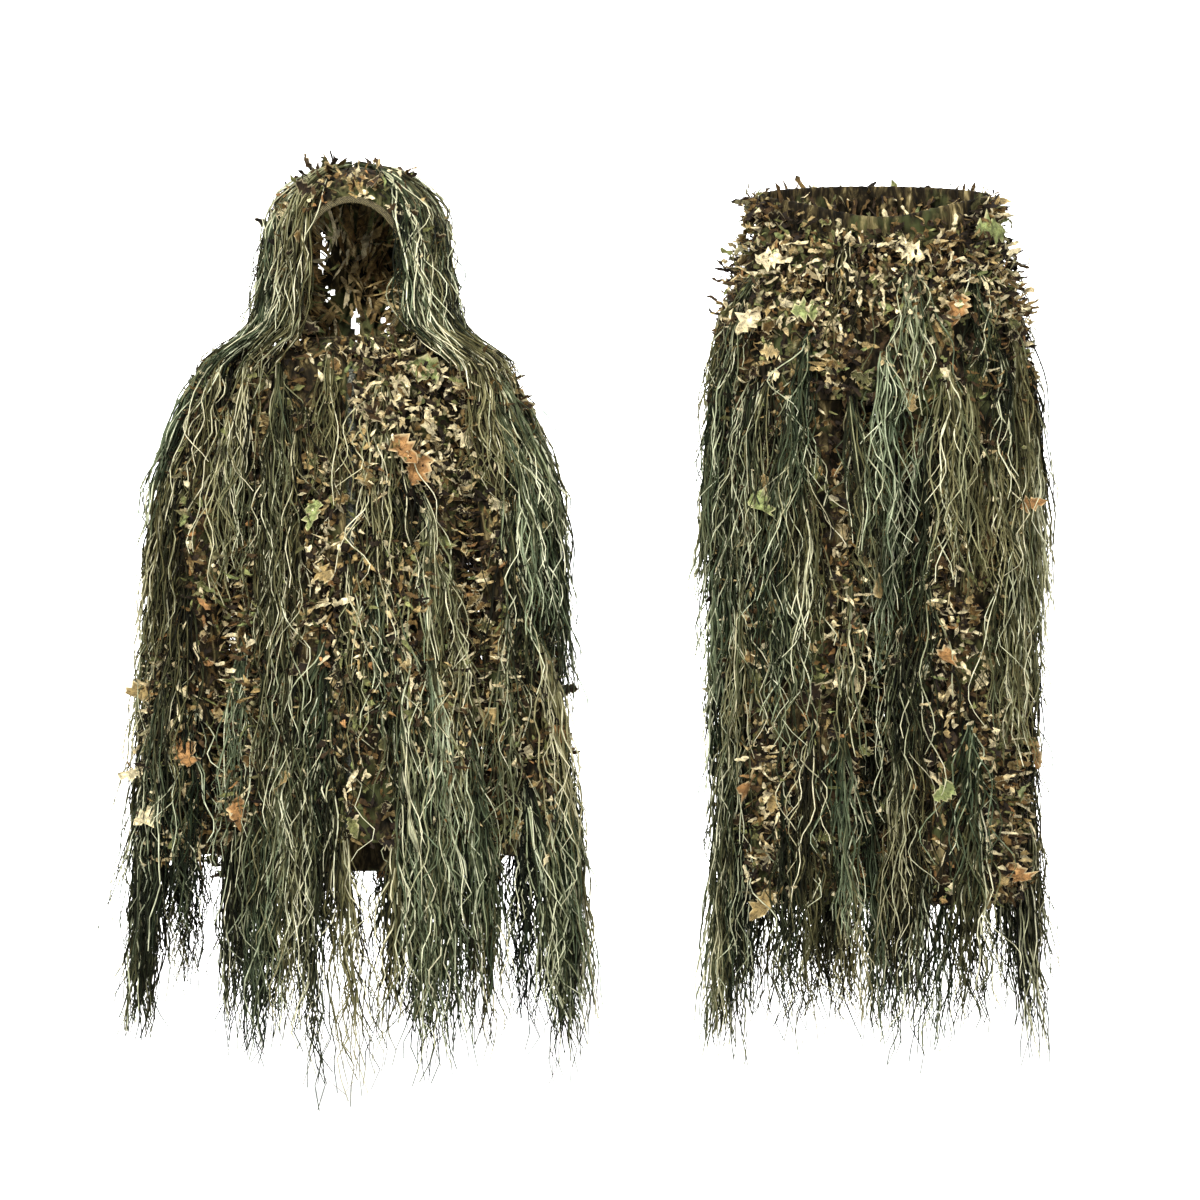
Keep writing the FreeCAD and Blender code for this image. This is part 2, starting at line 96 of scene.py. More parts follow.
CLOTH_WALL, HOOD_FOLDS = 0.0012, 0.003
NAP, STREAK_DEPTH = 0.007, 0.026    # how far slivers stand off the cloth, all over and in a leafy streak
SLIT_MARGIN = {"flakes": 0.012, "lining": 0.022, "yarn": 0.004}     # how far each keeps from the hood's slits

# the stage: the camera's aim, the width it frames at the plane framed, its sensor, the paper bowl, the lamps
CAMERA_FOCUS = (0.3675, 0.0, -0.3895)
FRAMED_WIDTH, FRAMED_Y, SENSOR_WIDTH = 1.764, -0.12, 36.0
SWEEP_REACH, SWEEP_BEND, SWEEP_HEIGHT, SWEEP_SIDES = 9.5, 1.6, 7.0, 96
WORLD_LIGHT = 0.30
LAMPS = (                       # name, place, size, watts, the point aimed at
    ("key", (-0.7, -3.2, 2.1), 0.8, 365, CAMERA_FOCUS),
    ("fill", (1.7, -4.3, 0.3), 1.6, 105, CAMERA_FOCUS),
    ("back", (2.2, 4.4, 2.6), 2.0, 150, CAMERA_FOCUS),
    ("sweep_near", (0.4, 0.7, 1.6), 2.6, 70, (0.4, 2.4, -0.6)),
    ("sweep_far", (0.4, 3.2, 3.0), 2.6, 560, (0.4, 7.5, -1.1)),
    ("sweep_high", (0.4, 6.0, 4.2), 2.6, 560, (0.4, SWEEP_REACH, 0.8)))

# stations of each surface: height, centre x, centre y, half width, half depth
TORSO = [(0.0, 0, 0, 0.078, 0.062), (SHOULDER_Z, 0, 0, 0.212, 0.094), (ARMPIT_Z, 0, 0, 0.160, 0.108),
         (BACK_HEM_Z, 0, 0, 0.205, 0.150)]
SLEEVE = [(-0.020, 0.178, 0, 0.012, 0.034), (-0.050, 0.190, 0, 0.032, 0.056),
          (-0.110, 0.196, 0, 0.054, 0.066), (ARMPIT_Z, 0.226, 0, 0.052, 0.061),
          (CUFF_Z, 0.258, 0, 0.048, 0.049)]
HOOD_SIDE = [(CROWN_FOOT_Z, 0, 0.010, CROWN_HALF_WIDTH, CROWN_HALF_DEPTH), (0.050, 0, 0.004, 0.127, 0.107),
             (HOOD_FOOT_Z, 0, 0, 0.101, 0.085)]
SHOULDER_DRAPE = [(0.045, 0, 0.002, 0.132, 0.112), (0.012, 0, 0, 0.142, 0.108), (-0.010, 0, 0, 0.176, 0.106),
                  (-0.034, 0, 0, 0.214, 0.108), (-0.110, 0, 0, 0.244, 0.114), (-0.300, 0, 0, 0.270, 0.130)]
PELVIS = [(0.260, 0, 0, 0.174, 0.116), (0.190, 0, 0, 0.173, 0.112), (0.040, 0, 0, 0.215, 0.129),
          (LEG_TOP_Z, 0, 0, 0.225, 0.134)]
LEG = [(0.000, 0.106, 0, 0.108, 0.118), (LEG_TOP_Z, 0.1135, 0, 0.112, 0.112),
       (LEG_HEM_Z, 0.118, 0, 0.096, 0.095)]

# slits in the leaf-cut cloth at the back of the hood: low x, high x, low z, high z
HOOD_SLITS = [(-0.063, -0.049, 0.104, 0.176), (0.062, 0.073, 0.128, 0.160), (-0.011, -0.001, 0.016, 0.066),
              (0.036, 0.049, 0.008, 0.058), (-0.050, -0.043, 0.066, 0.092)]

# colours of the flakes by tone: bark, brown, umber, tan, cream, olive, moss, lime, rust
TONE = {"bark": 0.03, "brown": 0.16, "umber": 0.29, "tan": 0.42, "cream": 0.53, "olive": 0.64, "moss": 0.74,
        "lime": 0.85, "rust": 0.96}


# ------------------------------------------------------------------ surfaces
def crown(steps=14):
    """Stations of the hood's crown: its radii fall as the root of 1 less the height's share to the 2.2."""
    rows = []
    for k in range(steps):
        share = math.sin(math.pi / 2 * (1 - k / steps))
        size = math.sqrt(max(1 - share ** 2.2, 0.0004))
        rows.append((CROWN_FOOT_Z + share * (CROWN_Z - CROWN_FOOT_Z), 0, 0.010 - 0.004 * share,
                     CROWN_HALF_WIDTH * size, CROWN_HALF_DEPTH * size))
    return rows


def surface(stations, soften=0.0):
    """A dense table of a stack's rows from the foot up, its corners averaged over the softening length."""
    rows = np.array(sorted(stations), float)
    z = np.linspace(rows[0, 0], rows[-1, 0], 400)
    table = np.stack([z] + [np.interp(z, rows[:, 0], rows[:, k]) for k in range(1, 5)], 1)
    reach = int(round(soften / (z[1] - z[0])))
    if reach:
        kernel = np.ones(2 * reach + 1) / (2 * reach + 1)
        for k in range(1, 5):
            padded = np.pad(table[:, k], reach, mode="reflect", reflect_type="odd")
            table[:, k] = np.convolve(padded, kernel, "valid")
    return table


def shifted(table, x=0.0, side=1):
    """The same surface on the given side of x = 0, moved along X."""
    made = table.copy()
    made[:, 1] = made[:, 1] * side + x
    return made


BODY = surface(TORSO, 0.012)
ARM = surface(SLEEVE, 0.010)
HOOD = surface(HOOD_SIDE + crown(), 0.006)
DRAPE = surface(SHOULDER_DRAPE + HOOD_SIDE[:1] + crown(), 0.008)
SEAT = shifted(surface(PELVIS, 0.015), TROUSERS_X)
SHANK = surface(LEG, 0.015)


def outline_at(table, z):
    """Centre x, centre y, half width a and half depth b of a surface at the given heights."""
    return [np.interp(z, table[:, 0], table[:, k]) for k in range(1, 5)]


def spot(table, angle, z, out=0.0):
    """Point at an angle and height: centre + ((a + out) sin, -(b + out) cos), angle 0 facing the front."""
    cx, cy, a, b = outline_at(table, z)
    return np.stack([cx + (a + out) * np.sin(angle), cy - (b + out) * np.cos(angle), z + 0 * angle], -1)


def bearings(table, angle, z):
    """Unit vectors at a place on a surface: across it, up it, and straight out of it."""
    step = 0.002
    across = spot(table, angle + step, z) - spot(table, angle - step, z)
    up = spot(table, angle, z + step) - spot(table, angle, z - step)
    across /= np.linalg.norm(across, axis=-1, keepdims=True) + 1e-12
    up /= np.linalg.norm(up, axis=-1, keepdims=True) + 1e-12
    out = np.cross(across, up)
    out /= np.linalg.norm(out, axis=-1, keepdims=True) + 1e-12
    return across, np.cross(out, across), out


def angle_of(table, x, z, back=False):
    """The angle whose point has this x at this height, in front, or at the back."""
    cx, _, a, _ = outline_at(table, z)
    angle = np.arcsin(np.clip((x - cx) / a, -1, 1))
    return np.pi - angle if back else angle


def in_slit(point, margin=0.0):
    """Whether points at the back of the hood lie in one of its slits, which are ragged and end in points."""
    found = np.zeros(point.shape[:-1], bool)
    for x0, x1, z0, z1 in HOOD_SLITS:
        share = (point[..., 2] - (z0 + z1) / 2) / ((z1 - z0) / 2 + margin)
        half = ((x1 - x0) / 2 + margin) * np.sqrt(np.clip(1 - share ** 2, 0, 1))
        half = half * (0.8 + 0.3 * np.sin(9 * share))
        middle = (x0 + x1) / 2 + 0.004 * np.sin(4 * share + 90 * x0)
        found |= (np.abs(point[..., 0] - middle) < half) & (point[..., 1] > 0.0)
    return found


def face_edge(z, reach=BINDING):
    """Half width of the hood's face opening at a height, 0 above and below it."""
    share = (z - FACE_Z) / (FACE_HALF_HEIGHT + reach)
    return (FACE_HALF_WIDTH + reach) * np.sqrt(np.clip(1 - share ** 2, 0, 1))


def waist_dip(cosine):
    """How far the worn waistband sags at its front: 20 mm times the sixth power of the bearing's cosine."""
    return 0.020 * np.clip(cosine, 0, 1) ** 6


def waist_rim(angle, half_depth, above=0.0):
    """Height of the waist's tilted plane at a bearing: its middle's, less half depth times cos times tan."""
    return WAIST_Z + above - half_depth * np.cos(angle) * math.tan(WAIST_TILT)


def crown_height(x):
    """Height at which the hood's crown is as wide as twice x."""
    rising = HOOD[HOOD[:, 0] > 0.130]
    return np.interp(-np.abs(x), -rising[:, 3], rising[:, 0])


# ------------------------------------------------------------------ meshes
def new_mesh(name, points, faces, attributes=(), smooth=True):
    """A mesh object from one array of points and a list of face arrays, with point attributes."""
    mesh = bpy.data.meshes.new(name)
    points = np.asarray(points, np.float32).reshape(-1, 3)
    mesh.vertices.add(len(points))
    mesh.vertices.foreach_set("co", points.ravel())
    corners = np.concatenate([f.ravel() for f in faces])
    sizes = np.concatenate([np.full(len(f), f.shape[1]) for f in faces])
    mesh.loops.add(len(corners))
    mesh.loops.foreach_set("vertex_index", corners.astype(np.int32))
    mesh.polygons.add(len(sizes))
    starts = np.concatenate([[0], np.cumsum(sizes)[:-1]])
    mesh.polygons.foreach_set("loop_start", starts.astype(np.int32))
    mesh.polygons.foreach_set("use_smooth", np.full(len(sizes), smooth))
    for key, values in dict(attributes).items():
        layer = mesh.attributes.new(key, "FLOAT", "POINT")
        layer.data.foreach_set("value", np.asarray(values, np.float32).ravel())
    mesh.update(calc_edges=True)
    mesh.validate()
    made = bpy.data.objects.new(name, mesh)
    bpy.context.scene.collection.objects.link(made)
    return made


def grid_faces(count, rows, columns, wrap=False):
    """Quads of `count` grids of points laid out row by row, closed round the columns if wrapped."""
    r = np.arange(rows - 1)[:, None]
    c = np.arange(columns if wrap else columns - 1)[None]
    low, across = r * columns, (c + 1) % columns
    high = low + columns
    quads = np.stack([low + c, low + across, high + across, high + c], -1)
    offsets = np.arange(count)[:, None, None] * rows * columns
    return (quads.reshape(1, -1, 4) + offsets).reshape(-1, 4)


def finish_piece(piece, body, look, nodes=(), thickness=0.0, bend=None):
    """Gives a piece its finish and wall and hides its CAD nodes; it joins its body unless it has a bend, when
    its transform is baked in instead.
    """
    piece.data.materials.append(finish(look))
    bend = bend or BENDS.get(body)
    if thickness:
        wall = piece.modifiers.new("wall", "SOLIDIFY")
        wall.thickness = thickness
        wall.offset = -1.0
    if bend:
        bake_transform(piece)
    else:
        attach(piece, body)
    if nodes:
        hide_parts(*nodes)
    return piece


# ------------------------------------------------------------------ materials
def linear(code):
    """An sRGB hex code as linear red, green, blue and alpha 1."""
    parts = [int(code[k:k + 2], 16) / 255 for k in (1, 3, 5)]
    return tuple(c / 12.92 if c <= 0.04045 else ((c + 0.055) / 1.055) ** 2.4 for c in parts) + (1.0,)


def add(tree, kind, sockets=(), stops=(), **settings):
    """Adds one node, with its settings, its colour stops, and a value or a link for each listed socket."""
    node = tree.nodes.new(kind)
    for key, value in settings.items():
        setattr(node, key, value)
    if stops:
        band = node.color_ramp
        band.elements.remove(band.elements[1])
        band.elements[0].position = stops[0][0]
        band.elements[0].color = linear(stops[0][1])
        for place, code in stops[1:]:
            band.elements.new(place).color = linear(code)
    for key, value in dict(sockets).items():
        if isinstance(value, bpy.types.NodeSocket):
            tree.links.new(value, node.inputs[key])
        else:
            node.inputs[key].default_value = value
    return node


def new_material(name, roughness, metallic=0.0, gloss=0.5):
    """A material with one Principled shader at its roughness, metallic and gloss, and its coordinates."""
    made = bpy.data.materials.new(name)
    made.use_nodes = True
    tree = made.node_tree
    shader = tree.nodes["Principled BSDF"]
    shader.inputs["Roughness"].default_value = roughness
    shader.inputs["Metallic"].default_value = metallic
    shader.inputs["Specular IOR Level"].default_value = gloss
    return made, tree, shader, add(tree, "ShaderNodeTexCoord").outputs["Object"]


def paint(shader, colour, bump):
    """Links a colour and a bump node to a material's shader."""
    links = shader.id_data.links
    links.new(colour, shader.inputs["Base Color"])
    links.new(bump.outputs["Normal"], shader.inputs["Normal"])


def yarn_finish():
    """Textured polyester yarn, dyed in the hank: a dyed colour per strand, whose tone also carries painted
    shade in the tufts' inner layers and painted light at their tips, with paler worn lengths and a twist.
    """
    made, tree, shader, place = new_material("textured_polyester_yarn", 0.85, gloss=0.08)
    tone = add(tree, "ShaderNodeAttribute", attribute_name="tone").outputs["Fac"]
    vat = add(tree, "ShaderNodeAttribute", attribute_name="vat").outputs["Fac"]
    warm = add(tree, "ShaderNodeValToRGB", {"Fac": tone}, stops=[
        (0.00, "#0b0a05"), (0.25, "#2a2716"), (0.50, "#5a5538"), (0.75, "#8d8766"), (1.00, "#cfc8ad")])
    cool = add(tree, "ShaderNodeValToRGB", {"Fac": tone}, stops=[
        (0.00, "#070a06"), (0.25, "#1e2717"), (0.50, "#48523f"), (0.75, "#7c866c"), (1.00, "#c3c5ab")])
    dye = add(tree, "ShaderNodeMix", {0: vat, 6: warm.outputs["Color"], 7: cool.outputs["Color"]},
              data_type="RGBA")
    patches = add(tree, "ShaderNodeTexNoise", {"Vector": place, "Scale": 38.0, "Detail": 3.0})
    wear = add(tree, "ShaderNodeValToRGB", {"Fac": patches.outputs["Fac"]}, stops=[
        (0.30, "#8f8f86"), (0.52, "#dcdcd2"), (0.75, "#ffffff")])
    colour = add(tree, "ShaderNodeMix", {0: 1.0, 6: dye.outputs[2], 7: wear.outputs["Color"]},
                 data_type="RGBA", blend_type="MULTIPLY")
    # the ply's twist is 1 mm, drawn at 3 mm so that it shows
    twist = add(tree, "ShaderNodeTexNoise", {"Vector": place, "Scale": 330.0, "Detail": 1.0})
    bump = add(tree, "ShaderNodeBump", {"Height": twist.outputs["Fac"], "Strength": 0.5, "Distance": 0.0006})
    paint(shader, colour.outputs[2], bump)
    return made


def flake_finish():
    """Laser-cut polyester flakes, printed with leaves and twigs: a tone each, dark print, and pale rims that
    are partly the cut edge's own colour and partly a painted highlight.
    """
    made, tree, shader, place = new_material("laser_cut_printed_flakes", 0.8, gloss=0.15)
    tone = add(tree, "ShaderNodeAttribute", attribute_name="tone").outputs["Fac"]
    rim = add(tree, "ShaderNodeAttribute", attribute_name="rim").outputs["Fac"]
    ground = add(tree, "ShaderNodeValToRGB", {"Fac": tone}, stops=[
        (0.00, "#160f05"), (0.16, "#3b2b14"), (0.29, "#634e2a"), (0.42, "#9a8659"), (0.53, "#ddd2ad"),
        (0.64, "#4f4d2d"), (0.74, "#6a6d42"), (0.85, "#7f8a58"), (0.96, "#9a7449")])
    # printed leaves 12 mm across and twigs 3 mm wide
    leaves = add(tree, "ShaderNodeTexVoronoi", {"Vector": place, "Scale": 85.0, "Randomness": 1.0},
                 feature="F1", distance="EUCLIDEAN")
    shade = add(tree, "ShaderNodeValToRGB", {"Fac": leaves.outputs["Distance"]}, stops=[
        (0.05, "#ffffff"), (0.42, "#b9ad92"), (0.62, "#5d5138")])
    printed = add(tree, "ShaderNodeMix", {0: 0.6, 6: ground.outputs["Color"], 7: shade.outputs["Color"]},
                  data_type="RGBA", blend_type="MULTIPLY")
    twigs = add(tree, "ShaderNodeTexNoise", {"Vector": place, "Scale": 95.0, "Detail": 4.0,
                                            "Distortion": 1.6})
    line = add(tree, "ShaderNodeValToRGB", {"Fac": twigs.outputs["Fac"]}, stops=[
        (0.44, "#ffffff"), (0.485, "#3a3020"), (0.53, "#ffffff")])
    drawn = add(tree, "ShaderNodeMix", {0: 0.7, 6: printed.outputs[2], 7: line.outputs["Color"]},
                data_type="RGBA", blend_type="MULTIPLY")
    # pale rims: partly the cut edge's own paler colour, partly a painted highlight where the curled edges
    # catch light
    pale_rim_and_highlight = add(tree, "ShaderNodeMapRange", {0: rim, 1: 0.72, 2: 1.0, 3: 0.0, 4: 0.5})
    colour = add(tree, "ShaderNodeMix", {0: pale_rim_and_highlight.outputs[0], 6: drawn.outputs[2], 7: linear("#b5a983")},
                 data_type="RGBA")
    crease = add(tree, "ShaderNodeBump", {"Height": twigs.outputs["Fac"], "Strength": 0.4, "Distance": 0.001})
    paint(shader, colour.outputs[2], crease)
    return made


def cloth_finish():
    """Warp-knit polyester base cloth, transfer printed as bark: dark vertical furrows, tan ridges, moss."""
    made, tree, shader, place = new_material("printed_warp_knit_cloth", 0.9, gloss=0.08)
    tall = add(tree, "ShaderNodeMapping", {"Vector": place, "Scale": (1.0, 1.0, 0.35)})
    furrows = add(tree, "ShaderNodeTexNoise", {"Vector": tall.outputs[0], "Scale": 48.0, "Detail": 6.0,
                                              "Roughness": 0.6, "Distortion": 0.9})
    bark = add(tree, "ShaderNodeValToRGB", {"Fac": furrows.outputs["Fac"]}, stops=[
        (0.38, "#060502"), (0.50, "#1a150b"), (0.58, "#3a321e"), (0.66, "#756846"), (0.76, "#aa9e78")])
    moss = add(tree, "ShaderNodeTexNoise", {"Vector": place, "Scale": 16.0, "Detail": 3.0})
    mossy = add(tree, "ShaderNodeMapRange", {0: moss.outputs["Fac"], 1: 0.52, 2: 0.62, 3: 0.0, 4: 0.55})
    colour = add(tree, "ShaderNodeMix", {0: mossy.outputs[0], 6: bark.outputs["Color"], 7: linear("#44492a")},
                 data_type="RGBA")
    # the knit's 0.8 mm wales are drawn at 2 mm so that they show
    wales = add(tree, "ShaderNodeTexWave", {"Vector": place, "Scale": 160.0, "Distortion": 0.6},
                wave_type="BANDS", bands_direction="X")
    height = add(tree, "ShaderNodeMath", {0: wales.outputs["Fac"], 1: furrows.outputs["Fac"]},
                 operation="ADD")
    bump = add(tree, "ShaderNodeBump", {"Height": height.outputs[0], "Strength": 0.5, "Distance": 0.001})
    paint(shader, colour.outputs[2], bump)
    return made


def woven_finish(name, dark, pale, pitch, roughness=0.8):
    """A narrow woven or covered tape: two thread colours in ribs of a pitch, crossed by a finer weft."""
    made, tree, shader, place = new_material(name, roughness, gloss=0.2)
    ribs = add(tree, "ShaderNodeTexWave", {"Vector": place, "Scale": 0.314 / pitch, "Distortion": 0.4},
               wave_type="BANDS", bands_direction="DIAGONAL")
    weft = add(tree, "ShaderNodeTexNoise", {"Vector": place, "Scale": 0.7 / pitch, "Detail": 2.0})
    mixed = add(tree, "ShaderNodeMath", {0: ribs.outputs["Fac"], 1: weft.outputs["Fac"]},
                operation="MULTIPLY")
    colour = add(tree, "ShaderNodeValToRGB", {"Fac": mixed.outputs[0]}, stops=[(0.15, dark), (0.6, pale)])
    bump = add(tree, "ShaderNodeBump", {"Height": mixed.outputs[0], "Strength": 0.7, "Distance": 0.0006})
    paint(shader, colour.outputs["Color"], bump)
    return made


def hard_finish(name, dark, pale, grain, roughness, metallic=0.0):
    """A moulded, cast or plated hard part: faint mottling, with wear that turns it paler and rougher."""
    made, tree, shader, place = new_material(name, roughness, metallic)
    mottle = add(tree, "ShaderNodeTexNoise", {"Vector": place, "Scale": 1.0 / grain, "Detail": 4.0})
    colour = add(tree, "ShaderNodeValToRGB", {"Fac": mottle.outputs["Fac"]},
                 stops=[(0.42, dark), (0.72, pale)])
    gloss = add(tree, "ShaderNodeMapRange", {0: mottle.outputs["Fac"], 1: 0.3, 2: 0.7,
                                            3: roughness - 0.08, 4: roughness + 0.15})
    bump = add(tree, "ShaderNodeBump", {"Height": mottle.outputs["Fac"], "Strength": 0.2, "Distance": 0.0002})
    tree.links.new(gloss.outputs[0], shader.inputs["Roughness"])
    paint(shader, colour.outputs["Color"], bump)
    return made


FINISHES = {}


def finish(name):
    """A named finish, made the first time it is asked for."""
    makers = {
        "yarn": yarn_finish,
        "flakes": flake_finish,
        "cloth": cloth_finish,
        "binding": lambda: woven_finish("woven_polyester_binding", "#1a160c", "#5f5638", 0.0015),
        "zip_tape": lambda: woven_finish("woven_zip_tape", "#15170e", "#3c402a", 0.0012),
        "elastic": lambda: woven_finish("covered_elastic", "#12120c", "#3d3b2a", 0.003, 0.7),
        "mesh": lambda: woven_finish("knitted_polyester_mesh", "#14160d", "#474a30", 0.002),
        "acetal": lambda: hard_finish("moulded_acetal", "#171a10", "#34382a", 0.004, 0.42),
        "zinc": lambda: hard_finish("lacquered_cast_zinc", "#191a14", "#5c5c50", 0.003, 0.38, 0.8),
        "paper": lambda: hard_finish("matt_studio_paper", "#f4f4f3", "#fbfbfa", 0.9, 0.8),
    }
    if name not in FINISHES:
        FINISHES[name] = makers[name]()
    return FINISHES[name]


# ------------------------------------------------------------------ cloth
def folds(angle, z, depth, seed):
    """Depth of the cloth's folds: three sines that run mostly down it, and a fine one for its creases."""
    draw = np.random.default_rng(seed)
    made = np.zeros(np.broadcast(angle, z).shape)
    for turns, rise, share in ((5, 3, 0.45), (9, -6, 0.3), (16, 11, 0.17), (31, 57, 0.08)):
        made += share * np.sin(turns * angle + rise * z * 6 + draw.uniform(0, 6.3))
    return depth * (made - 1.0) / 2


def measured(points):
    """Width of the widest row, length of the longest column and area of a grid of points."""
    across = np.diff(points, axis=1)
    down = np.diff(points, axis=0)
    width = np.linalg.norm(across, axis=-1).sum(1).max()
    length = np.linalg.norm(down, axis=-1).sum(0).max()
    area = np.linalg.norm(np.cross(across[:-1], down[:, :-1]), axis=-1).sum()
    return float(width), float(length), float(area)


def keep_sheet(name, piece, size, held="hung"):
    """Remembers a panel's flat size, to be printed once its flakes and yarn exist."""
    width, length, area = size
    SHEETS[name] = (piece, width, length, min(area, width * length), held)


def cloth(name, grids, body, node):
    """One cut panel: its grid of points with folds, a thin wall, and its flat size from the plain grid."""
    plain, folded = grids
    faces = grid_faces(1, *plain.shape[:2])[:, ::-1]
    if body == "hood":
        faces = faces[~in_slit(folded.reshape(-1, 3)[faces].mean(1))]
    piece = new_mesh("cloth_" + name, folded, [faces])
    finish_piece(piece, body, "cloth", [node], thickness=CLOTH_WALL)
    keep_sheet(name, piece, measured(plain))


def mirrored(grids, side):
    """A panel's plain and folded grids on the given side of x = 0, with faces that still look outwards."""
    return [(grid * [side, 1, 1])[:, ::side] for grid in grids]


def panel(table, low, high, z_low, z_high, seed, columns, rows, depth):
    """Grids of a panel between two angles, which may change with height, from its foot up."""
    z = np.linspace(z_low, z_high, rows)[:, None] + np.zeros((1, columns))
    first, last = (np.broadcast_to(np.asarray(edge(z[:, 0]) if callable(edge) else edge), (rows,))
                   for edge in (low, high))
    angle = first[:, None] + (last - first)[:, None] * np.linspace(0, 1, columns)[None]
    plain = spot(table, angle, z)
    return plain, spot(table, angle, z, folds(angle, z, depth, seed))


def hood_centre(columns=15, front=10, back=44):
    """The hood's middle strip: from the face opening over the crown and down the back, between its seams."""
    x = np.linspace(-HOOD_SEAM_X, HOOD_SEAM_X, columns)[None]
    top = crown_height(x)
    start = FACE_Z + (FACE_HALF_HEIGHT + BINDING) * np.sqrt(1 - (x / (FACE_HALF_WIDTH + BINDING)) ** 2)
    z_front = start + (top - start) * np.sin(np.linspace(0, np.pi / 2, front))[:, None]
    fall = 1 - np.cos(np.linspace(0, np.pi / 2, back))[1:, None]
    z_back = top + (HOOD_FOOT_Z - top) * fall
    z = np.concatenate([z_front, z_back])
    behind = np.concatenate([np.zeros(front, bool), np.ones(back - 1, bool)])[:, None]
    angle = np.where(behind, angle_of(HOOD, x, z, True), angle_of(HOOD, x, z))
    plain = spot(HOOD, angle, z)
    return plain, spot(HOOD, angle, z, folds(angle, z, HOOD_FOLDS, 31))


# ------------------------------------------------------------------ leaf flakes
# half widths of leaves and of slivers from the stalk to the tip, as shares of their width
LEAVES = np.array([
    (0.10, 0.62, 0.40, 0.95, 0.45, 1.00, 0.40, 0.55, 0.04),
    (0.12, 0.45, 0.90, 0.50, 1.00, 0.45, 0.70, 0.30, 0.05),
    (0.20, 0.75, 0.55, 0.90, 0.60, 0.85, 0.35, 0.40, 0.08)])
SLIVERS = np.array([(0.30, 1.00, 0.75, 0.90, 0.50, 0.05), (0.10, 0.70, 1.00, 0.55, 0.80, 0.10),
                    (0.60, 0.80, 0.45, 1.00, 0.35, 0.04)])


def flakes(name, roots, bearing, length, width, tone, lift, heading, curl, seed, outlines, columns):
    """Flakes as small bent grids: each leaves its root at a heading, lifts off the cloth, curls and twists.

    Along the flake t runs 0 to 1 and the path is an arc, (sin(kt)/k, (1 - cos(kt))/k) of its length; across
    it c runs -1 to 1 times the outline's half width, with the rims turned up by the square of c.
    """
    draw = np.random.default_rng(seed)
    count, stations = len(roots), outlines.shape[1]
    across, up, out = bearing
    down = -(np.cos(heading)[:, None] * up) + np.sin(heading)[:, None] * across
    axis = np.cos(lift)[:, None] * down + np.sin(lift)[:, None] * out
    face = -np.sin(lift)[:, None] * down + np.cos(lift)[:, None] * out
    side = np.cross(axis, face)
    t = np.linspace(0, 1, stations)[None, :, None]
    c = np.linspace(-1, 1, columns)[None, None]
    outline = outlines[draw.integers(0, len(outlines), count)][:, :, None]
    uneven = 1 + 0.35 * draw.uniform(-1, 1, (count, stations, columns))
    bend = np.where(np.abs(curl) < 0.05, 0.05, curl)[:, None, None]
    along = length[:, None, None] * np.sin(bend * t) / bend
    raised = length[:, None, None] * (1 - np.cos(bend * t)) / bend
    half = width[:, None, None] / 2 * outline * uneven * c
    twist = draw.normal(0, 0.9, (count, 1, 1)) * t
    cup = width[:, None, None] * 0.22 * draw.uniform(-0.6, 1.2, (count, 1, 1)) * c ** 2 + half * np.sin(twist)
    crumple = length[:, None, None] * 0.05 * draw.uniform(-1, 1, (count, stations, columns))
    points = (roots[:, None, None] + (along + crumple)[..., None] * axis[:, None, None]
              + (raised + cup + 0.5 * crumple)[..., None] * face[:, None, None]
              + (half * np.cos(twist))[..., None] * side[:, None, None])
    shape = points.shape[:3]
    # rim: how near a point lies to the flake's edge, which the finish paints pale, partly as a painted
    # highlight
    rim = np.maximum(np.abs(c), 2 * np.abs(t - 0.5) ** 1.5) if columns > 2 else 0 * c * t
    attributes = {"tone": np.broadcast_to(tone[:, None, None], shape), "rim": np.broadcast_to(rim, shape)}
    return new_mesh(name, points, [grid_faces(count, stations, columns)], attributes, smooth=False)


def flake_tones(draw, count):
    """Tones in the shares that the printed cloth has: mostly bark and brown, much pale back, few accents."""
    share = np.array([0.26, 0.18, 0.13, 0.13, 0.09, 0.10, 0.07, 0.02, 0.02])
    picked = draw.choice(len(TONE), count, p=share / share.sum())
    return np.array(list(TONE.values()))[picked] + draw.uniform(-0.025, 0.025, count)


